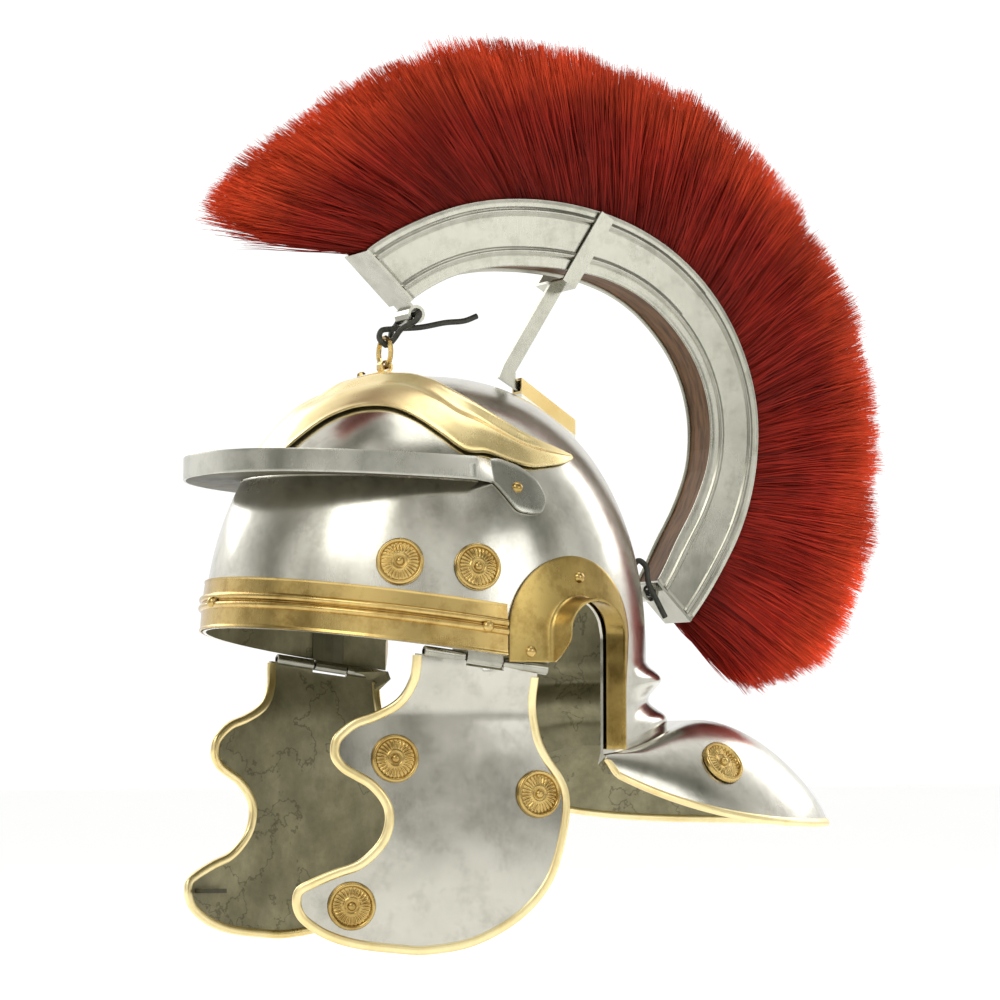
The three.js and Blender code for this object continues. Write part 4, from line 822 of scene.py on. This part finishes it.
def inside_points(poly, spacing=2.6, margin=1.4):
    """Grid points well inside a closed outline."""
    gy, gz = np.meshgrid(np.arange(-108, 32, spacing), np.arange(-143, 8, spacing))
    pts = np.stack([gy.ravel(), gz.ravel()], 1)
    py, pz = pts[:, None, 0], pts[:, None, 1]
    a, b = poly[None], np.roll(poly, -1, 0)[None]
    run = b - a
    at = run[..., 0] * (pz - a[..., 1]) / (run[..., 1] + 1e-12) + a[..., 0]
    crosses = ((a[..., 1] > pz) != (b[..., 1] > pz)) & (py < at)
    pts = pts[crosses.sum(1) % 2 == 1]
    gap = np.linalg.norm(pts[:, None, :] - poly[None, :, :], axis=2).min(1)
    return pts[gap > margin]


def make_cheeks():
    knots = np.array([cheek_point(a, d) for a, d in KNOTS])
    curve = respace(catmull(knots, 14), 240)
    run = unit(np.gradient(curve, axis=0))
    out = np.stack([run[:, 1], -run[:, 0]], 1)
    inset = curve - out * TRIM_OVERHANG
    front, rear = inset[0, 0], inset[-1, 0]
    low, high = (float(hinge_at(s)[1]) for s in SPLITS)
    side_drop, slot_drop, slack = 1.6, 4, 0.4
    top = [(y, hinge_edge(at) - drop) for y, at, drop in (
        (rear, rear, side_drop), (high + slack, high, side_drop), (high + slack, high, slot_drop),
        (low - slack, low, slot_drop), (low - slack, low, side_drop), (front, front, side_drop))]
    poly = np.vstack([inset, top])
    verts = [Vector(p) for p in np.vstack([poly, inside_points(poly)])]
    made = delaunay_2d_cdt(verts, [], [list(range(len(poly)))], 1, 1e-4)
    flat, tris = np.array([tuple(v) for v in made[0]]), made[2]
    points = np.stack([cheek_x(flat[:, 0], flat[:, 1]) + 0.75, flat[:, 0], flat[:, 1]], 1)
    edge = np.vstack([[front, hinge_edge(front) - 2.5], inset[1:-1], [rear, hinge_edge(rear) - 4.4]])
    edge = respace(edge, 230)
    along = unit(np.gradient(edge, axis=0))
    path = np.stack([cheek_x(edge[:, 0], edge[:, 1]), edge[:, 0], edge[:, 1]], 1)
    normal = cheek_normal(edge[:, 0], edge[:, 1])
    outdir = np.stack([np.zeros(len(edge)), along[:, 1], -along[:, 0]], 1)
    for side, turn, k in SIDES:
        body = f"cheek_{side}"
        sheet(f"cheek_form_{side}", [], lambda c, k=k: np.array([k, 0, 0]), 1.5, [steel_cheek, inside],
              body, replaces=(f"cheek_plate_{side}",), extra=(turn(points), tris), angle=50)
        trim(f"cheek_trim_{side}", turn(path), turn(outdir), turn(normal), body, (f"cheek_edging_{side}",))
        for i, (s0, s1) in enumerate(((0, SPLITS[0] - 0.006), (SPLITS[1] + 0.006, 1))):
            p, f = cylinder(turn(hinge_at(s0)), turn(hinge_at(s1)), radius=2.8, bore=1.45)
            build(f"cheek_knuckle_{side}_{i + 1}", p, f, [steel_crest], body, angle=40)


make_cheeks()


# ---- rosettes and rivets

def round_mesh(rr, phi, height, radius):
    """Points and faces of a round piece drawn along Z: height is (rings, points round)."""
    x, y = rr[:, None] * np.cos(phi) * radius, rr[:, None] * np.sin(phi) * radius
    points = np.stack([x, y, np.broadcast_to(height, x.shape)], -1).reshape(-1, 3)
    return points, [(a, d, c, b) for a, b, c, d in grid_faces(len(rr), len(phi), closed=True)]


def rosette_mesh(radius=11.8, thick=3.6):
    """Rolled rim, fluted sunk ring, cord ring and domed boss."""
    rr = np.concatenate([np.linspace(0, 0.19, 8), np.linspace(0.24, 0.38, 6), np.linspace(0.4, 0.78, 9),
                         np.linspace(0.8, 1.0, 10)])
    phi = np.linspace(0, 2 * math.pi, 162, endpoint=False)
    boss = 0.55 * np.sqrt(np.clip(1 - (rr / 0.19) ** 2, 0, None))
    ring = 0.12 * np.sqrt(np.clip(1 - ((rr - 0.33) / 0.045) ** 2, 0, None))
    rim = 0.5 * np.sqrt(np.clip(1 - ((rr - 0.89) / 0.1) ** 2, 0, None))
    base = 0.44 - 0.22 * smooth(rr, 0.3, 0.76)
    height = base * (rr < 0.99) + ring + rim + boss
    reach = np.sin(math.pi * np.clip((rr - 0.4) / 0.38, 0, 1)) ** 0.4
    flute = reach[:, None] * 0.12 * np.tanh(2 * np.cos(27 * phi))[None, :]
    h = (height[:, None] + flute) * thick * 0.95
    h[-1] = 0.0
    return round_mesh(rr, phi, h, radius)


def rivet_mesh(radius=2.9, lift=2.1):
    rr = np.linspace(0, 1, 9)
    phi = np.linspace(0, 2 * math.pi, 28, endpoint=False)
    h = lift * np.sqrt(np.clip(1 - rr ** 2, 0, None))
    return round_mesh(rr, phi, h[:, None], radius)


def seated(name, shape, place, normal, body, node):
    """Puts a round piece, drawn along Z, on a surface."""
    points, faces = shape
    turn = Vector((0, 0, 1)).rotation_difference(Vector(normal)).to_matrix()
    moved = points @ np.array(turn).T + np.asarray(place)
    obj = build(name, moved, faces, [brass], body, angle=60)
    mend(obj, lambda bm: bmesh.ops.remove_doubles(bm, verts=bm.verts, dist=1e-6))
    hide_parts(node)


ROSETTE, RIVET = rosette_mesh(), rivet_mesh()


def both_sides(form, node, shape, place, normal, body="helmet", number=""):
    """A rosette or rivet on each side; a body named cheek stands for that side's cheek piece."""
    for side, turn, _ in SIDES:
        seated(f"{form}_{side}{number}", shape, turn(place), turn(normal),
               f"cheek_{side}" if body == "cheek" else body, f"{node}_{side}{number}")


for i, (bearing, z) in enumerate(((61.7, 0.318 * TOP), (81.5, 0.302 * TOP))):
    p = on_dome(bearing, z)
    n = dome_normal(p)
    both_sides("bowl_rosette_form", "bowl_rosette", ROSETTE, p + n * 0.3, n, number=f"_{i + 1}")
for i, (along, down) in enumerate(((0.341, 0.341), (0.871, 0.462), (0.194, 0.833))):
    y, z = cheek_point(along, down)
    n = cheek_normal(np.array(y), np.array(z))
    p = np.array([float(cheek_x(np.array(y), np.array(z))), y, z]) + n * 1.0
    both_sides("cheek_rosette_form", "cheek_rosette", ROSETTE, p, n, body="cheek", number=f"_{i + 1}")


def guard_point(bearing, row):
    """Point on the neck guard, row 0 at its crease and 1 at its rim."""
    crease, rim = crease_point(bearing), guard_rim(bearing)
    q = crease + (rim - crease) * row
    q[2] += guard_lift(math.hypot(*(rim - crease)[:2]), row)
    return q


def guard_normal(bearing, row):
    n = unit(np.cross(guard_point(bearing + 3, row) - guard_point(bearing - 3, row),
                      guard_point(bearing, row + 0.08) - guard_point(bearing, row - 0.08)))
    return n if n[2] > 0 else -n


NECK_ROSETTE = (139, 0.64)
n = guard_normal(*NECK_ROSETTE)
both_sides("neck_rosette_form", "neck_rosette", ROSETTE, guard_point(*NECK_ROSETTE) + n * 0.2, n)


def band_rivet(bearing):
    z = float(rim_z(on_dome(bearing, 0.0)[1])) + BAND_HEIGHT * 0.5 + BAND_FOOT
    p = on_dome(bearing, z)
    n = dome_normal(p)
    return p + n * 2.9, n


place, n = band_rivet(0.0)
seated("band_rivet_form_front", RIVET, place, n, "helmet", "brow_band_rivet_front")
place, n = band_rivet(83.4)
both_sides("band_rivet_form", "brow_band_rivet", RIVET, place, n)


def side_rivet(y, z, out):
    p = on_side(y, z)
    n = dome_normal(p)
    return p + n * out, n


rivet_y = LEAF_START + LEAF_LENGTH * 0.44
place, n = side_rivet(rivet_y, peak_z(rivet_y) - 0.22 * PEAK_RISE, 1.8)
both_sides("peak_rivet_form", "peak_rivet", RIVET, place, n)
place, n = side_rivet(EAR_Y + 1, EAR_Z + 28, 1.9)
both_sides("ear_rivet_form", "ear_guard_rivet", RIVET, place, n, number="_1")
place, n = side_rivet(EAR_Y - 29.5, float(rim_z(EAR_Y - 28)) + 4, 1.9)
both_sides("ear_rivet_form", "ear_guard_rivet", RIVET, place, n, number="_2")


# ---- crest box

CREST_R, CREST_DEPTH, CREST_HALF = 129, 35, 13
# bearing round the crest's centre, outer radius and depth of the box as shares
STATIONS = [(150, 1.085, 1.02), (136, 1.047, 1), (122, 1.007, 0.96), (108, 0.984, 0.98), (94, 0.969, 0.995),
            (80, 0.969, 0.985), (66, 0.982, 0.94), (52, 0.999, 0.9), (38, 1.01, 0.87), (24, 1.012, 0.83),
            (10, 1.008, 0.82), (-4, 0.993, 0.82), (-18, 0.98, 0.87), (-32, 0.971, 0.88), (-46, 0.987, 0.81),
            (-60, 1.02, 0.75)]
FRONT_A, REAR_A = 136.0, -46.0


def station(column, angle):
    """Catmull-Rom value of one column at a bearing."""
    place = (STATIONS[0][0] - np.asarray(angle, float)) / 14
    i = np.clip(np.floor(place).astype(int), 1, len(STATIONS) - 3)
    t = place - i
    v = np.array([s[column] for s in STATIONS])
    a, b, c, d = v[i - 1], v[i], v[i + 1], v[i + 2]
    return 0.5 * (2 * b + (c - a) * t + (2 * a - 5 * b + 4 * c - d) * t * t + (3 * b - a - 3 * c + d) * t ** 3)


def crest_arc(bearing, radius):
    a = np.radians(bearing)
    return CREST_Y + radius * np.cos(a), CREST_Z + radius * np.sin(a)


def crest_at(share, reach):
    """Point in the side plane: share along the box from the front, reach from its inner to its outer edge."""
    angle = FRONT_A + (REAR_A - FRONT_A) * np.asarray(share, float)
    radius = CREST_R * station(1, angle) - CREST_DEPTH * station(2, angle) * (1 - np.asarray(reach, float))
    return crest_arc(angle, radius)


def make_crest_sides():
    reach = np.concatenate([np.linspace(0, 0.15, 4), np.linspace(0.16, 0.28, 11), np.linspace(0.31, 0.74, 9),
                            np.linspace(0.76, 0.88, 11), np.linspace(0.9, 1, 4)])
    rib = sum(1.1 * np.sqrt(np.clip(1 - ((reach - c) / 0.05) ** 2, 0, None)) for c in (0.22, 0.82))
    lip = 0.35 * smooth(reach, 0.03, 0.0) + 0.35 * smooth(reach, 0.97, 1.0)
    share = np.linspace(0, 1, 180)
    y, z = crest_at(share[:, None], reach[None, :])
    g = np.stack([np.broadcast_to(CREST_HALF + rib + lip, y.shape), y, z], -1)
    for side, turn, k in SIDES:
        sheet(f"crest_side_form_{side}", [turn(g)], lambda c, k=k: np.array([k, 0, 0]), 1.15, [steel_crest],
              replaces=(f"crest_side_{side}",), bevel=0.25)


make_crest_sides()


# ---- horsehair

# bearings of the first and last strands, reach of the tips and of the dense inner hair, half widths
HAIR_FRONT, HAIR_REAR, TIP_R, CORE_R, ROOT_HALF, TIP_HALF = 148, -45, 213, 196, 11, 19.5
STRANDS, STRAND_PIECES, CLUMPS, STRAND_POINTS = 54000, 3, 760, 6


def hair_bearing(share):
    return HAIR_FRONT + (HAIR_REAR - HAIR_FRONT) * share


def hair_trail(share):
    """The strands shorten toward the rear end."""
    return smooth(share, 0.88, 1.0)


def strand_mesh(name, points, width):
    """Flat ribbons, one island a strand: points and half widths are (strands, points, 3)."""
    count, n = points.shape[:2]
    verts = np.stack([points - width, points + width], 2).reshape(-1, 3) * MM
    base = (np.arange(count) * n * 2)[:, None]
    k = (np.arange(n - 1) * 2)[None, :]
    faces = np.stack([base + k, base + k + 1, base + k + 3, base + k + 2], -1).reshape(-1, 4)
    mesh = bpy.data.meshes.new(name)
    mesh.vertices.add(len(verts))
    mesh.vertices.foreach_set("co", verts.ravel())
    mesh.loops.add(faces.size)
    mesh.loops.foreach_set("vertex_index", faces.ravel().astype(np.int32))
    mesh.polygons.add(len(faces))
    mesh.polygons.foreach_set("loop_start", (np.arange(len(faces)) * 4).astype(np.int32))
    mesh.update()
    mesh.validate()
    mesh.shade_smooth()
    mesh.materials.append(hair)
    return mesh


def make_hair():
    """Strands grow from the box and lean toward the bearing of their clump."""
    pieces = STRAND_PIECES
    count = STRANDS // pieces
    clump_s = (np.arange(CLUMPS) + rng.uniform(0, 1, CLUMPS)) / CLUMPS
    clump_u = rng.uniform(-1, 1, CLUMPS)
    clump_len = rng.uniform(0.972, 1.0, CLUMPS)
    clump_bend = rng.normal(0, 1, CLUMPS)
    clump_phase = rng.uniform(0, 6.28, CLUMPS)
    steps = np.linspace(0, 1, STRAND_POINTS)
    for part in range(pieces):
        s = rng.uniform(0.002, 0.998, count)
        u = rng.uniform(-1, 1, count)
        near = np.abs(s[:, None] - clump_s[None, :]) * 40 + np.abs(u[:, None] - clump_u[None, :]) * 0.55
        near += rng.uniform(0, 0.12, near.shape)
        c = near.argmin(1)
        ry, rz = crest_at(s, rng.uniform(0.955, 0.99, count))
        bearing = hair_bearing(s)
        clump_bearing = hair_bearing(clump_s[c]) + clump_bend[c] * 1.0
        stray = rng.normal(0, 1.0, count) * (1 - 0.8 * smooth(s, 0.93, 0.99))
        tip_bearing = bearing + (clump_bearing - bearing) * 0.34 + stray
        tip_u = u + (clump_u[c] - u) * 0.35
        round_off = 1 - 0.075 * np.abs(tip_u) ** 2.6
        short = rng.uniform(0, 1, count) ** 3 * 0.13 + rng.uniform(0, 0.012, count)
        uneven = 1.3 * np.sin(29 * s + 0.8) + 1.1 * np.sin(61 * s + tip_u) + 0.7 * np.sin(117 * s)
        full = TIP_R + 4 * smooth(s, 0.12, 0.0) + uneven - 24 * hair_trail(s) ** 2
        radius = full * clump_len[c] * round_off * (1 - short)
        ty, tz = crest_arc(tip_bearing, radius)
        tx = tip_u * TIP_HALF + rng.normal(0, 1.0, count)
        root = np.stack([u * ROOT_HALF, ry, rz], 1)
        tip = np.stack([tx, ty, tz], 1)
        line = unit(tip - root)
        side = np.stack([np.zeros(count), -line[:, 2], line[:, 1]], 1)
        sway = clump_bend[c] * 1.6 + rng.normal(0, 0.7, count)
        phase = clump_phase[c] + rng.normal(0, 0.5, count)
        sag = 2.2 * line[:, 1] ** 2
        points = []
        for t in steps:
            p = root + (tip - root) * t
            p[:, 0] = root[:, 0] + (tx - root[:, 0]) * (t ** 0.75)
            wave = np.sin(t * 5.5 + phase) * 0.9 * t + sway * t * (1 - t) * 1.6
            p = p + side * wave[:, None]
            p[:, 2] -= sag * t * t
            points.append(p)
        spin = rng.uniform(-0.9, 0.9, count)
        across = side * np.cos(spin)[:, None] + np.array([1.0, 0, 0]) * np.sin(spin)[:, None]
        half = (0.29 * (1 - steps ** 2.2 * 0.72))[None, :, None]
        width = across[:, None, :] * half * rng.uniform(0.8, 1.25, (count, 1, 1))
        name = f"hair_strands_{part + 1}"
        obj = placed(name, strand_mesh(name, np.stack(points, 1), width))
        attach(obj, "helmet")
        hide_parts("crest_hair")


def make_hair_depth():
    """Dense inner hair that closes the view between strands, in a darker copy of the horsehair: painted shade
    inside the crest.
    """
    outline = [(-0.9, 0), (0.9, 0), (1, 0.5), (0.9, 0.8), (0, 0.9), (-0.9, 0.8), (-1, 0.5)]
    core_half, groove = 15, 1.2
    rings = []
    for i, s in enumerate(np.linspace(0.006, 0.994, 240)):
        ry, rz = crest_at(s, 0.97)
        rad = (CORE_R - 25 * float(hair_trail(s)) ** 2) * (1 - 0.03 * (i % 2) - 0.02 * rng.uniform())
        ty, tz = crest_arc(hair_bearing(s), rad)
        ring = []
        for a, r in outline:
            wide = ROOT_HALF + (core_half - ROOT_HALF) * r - groove * (i % 2)
            ring.append((a * wide, ry + (ty - ry) * r, rz + (tz - rz) * r))
        rings.append(ring)
    swept("hair_depth", np.array(rings), [hair_core_shaded], replaces=("crest_hair",), angle=60)


make_hair()
make_hair_depth()


# ---- ties

FRONT_TIE = [(-2, -26.5, 161.5), (-2.6, -23.1, 164.7), (-6, -20.5, 169.5), (-12.4, -15, 173.8), (-12, -13, 177.4),
             (-6, -13, 177.4), (6, -13, 177.4), (12, -13, 177.4), (12.4, -15, 173.8), (6, -20.5, 169.5),
             (2.8, -23.1, 164.7), (2.2, -26.6, 161.5), (1.8, -30.7, 164.5), (0.6, -29.2, 168.8), (0, -23, 170.1),
             (0, -7.2, 171.7), (0, 7, 174.8), (0, 18, 176.3), (0, 25, 179.1)]
REAR_TIE = [(10.5, 129.1, 24.5), (11, 124.6, 32), (11.6, 118.6, 42.5), (11.2, 117.3, 51), (8.8, 114.3, 54),
            (5.5, 112.2, 50.5), (2.5, 111.8, 49.3), (-2.5, 111.8, 48.9), (-5.5, 112.3, 47.5), (-10, 116.1, 42.5),
            (-12.6, 120.1, 39), (-11, 121.6, 37.5), (-6, 121.6, 37.5), (-1, 121.6, 37.5), (5, 121.6, 37.5)]


def make_tie(name, route, node):
    """A thong 3 mm thick along a route, knot by knot."""
    points = centripetal(route, 10)
    points = respace(points, int(len(points) * 0.8))
    curve = bpy.data.curves.new(name, "CURVE")
    curve.dimensions = "3D"
    curve.bevel_depth = 1.5 * MM
    curve.bevel_resolution = 5
    curve.use_fill_caps = True
    line = curve.splines.new("POLY")
    line.points.add(len(points) - 1)
    for p, q in zip(line.points, points):
        p.co = (*(q * MM), 1)
    curve.materials.append(leather)
    obj = placed(name, curve)
    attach(obj, "helmet")
    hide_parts(node)


make_tie("front_tie_form", FRONT_TIE, "front_tie")
make_tie("rear_tie_form", REAR_TIE, "rear_tie")


# ---- kept solids take their finish

def socket_finish():
    """Brass channel above, steel saddle below, with the border square to the saddle's slope."""
    mat, p = new_material("socket_finish")
    coord = p.add("TexCoord", {})["Object"]
    height = p.add("VectorMath", {0: coord, 1: (0, 0.5547, 0.832)}, operation="DOT_PRODUCT")["Value"]
    share = p.span(height, 0, 1, start=0.1424, end=0.1428)
    cloud = p.noise(scale=45)
    gold = p.ramp(cloud, [(0.3, (0.40, 0.28, 0.10)), (0.7, (0.66, 0.51, 0.24))])
    grey = p.ramp(cloud, [(0.3, (0.48, 0.47, 0.40)), (0.7, (0.68, 0.66, 0.58))])
    p.look({"Metallic": 1.0, "Base Color": p.mix(share, grey, gold),
            "Roughness": p.span(cloud, 0.15, 0.3, start=0.3, end=0.7)})
    return mat


# The cheek tie loops also take the darkened copy of the inner face: painted shade.
FINISH = {"crest_core": wood, "crest_socket": socket_finish(), "front_hook": brass, "front_ring": brass,
          "rear_staple": brass, "cheek_tie_loop_left": shadowed, "cheek_tie_loop_right": shadowed,
          "front_hook_rivet": brass}
for name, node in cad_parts.items():
    for place in node.material_slots:
        place.material = FINISH.get(name, steel_crest)


# ---- floor and studio

FLOOR_Z, FLOOR_HALF = -0.22, 14


def make_floor():
    mat, p = new_material("pale_floor")
    cloud = p.noise(scale=3, detail=3)
    p.look({"Base Color": p.ramp(cloud, [(0.3, (0.93, 0.93, 0.93)), (0.7, (0.95, 0.95, 0.95))]),
            "Roughness": 0.9, "Emission Color": (1, 1, 1), "Emission Strength": 0.3})
    mesh = bpy.data.meshes.new("floor")
    corners = [(x * FLOOR_HALF, y * FLOOR_HALF, FLOOR_Z) for x, y in ((-1, -1), (1, -1), (1, 1), (-1, 1))]
    mesh.from_pydata(corners, [], [(0, 1, 2, 3)])
    mesh.materials.append(mat)
    obj = placed("floor", mesh)


def make_studio():
    """White backdrop on the far side, a greyer room with tall soft shapes on the near side."""
    far_side = (-0.9026, 0.4305, 0)
    world = bpy.data.worlds.new("studio")
    bpy.context.scene.world = world
    p = Paint(world, "Background")
    coord = p.add("TexCoord", {})["Generated"]
    streaks = p.add("Mapping", {"Scale": (1, 1, 0.3), "Vector": coord})["Vector"]
    shapes = p.add("TexNoise", {"Scale": 3.4, "Detail": 1.5, "Vector": streaks})["Fac"]
    room = p.ramp(shapes, [(0.36, (0.07, 0.075, 0.06)), (0.46, (0.24, 0.24, 0.21)), (0.55, (0.46, 0.45, 0.42)),
                           (0.66, (0.95, 0.95, 0.92))])
    facing = p.add("VectorMath", {0: coord, 1: far_side}, operation="DOT_PRODUCT")["Value"]
    share = p.span(facing, 0, 1, start=-0.05, end=0.35)
    p.look({"Color": p.mix(share, room, (1.08, 1.08, 1.08)), "Strength": 1.0})


make_floor()
make_studio()

bpy.context.scene.view_settings.view_transform = "Standard"
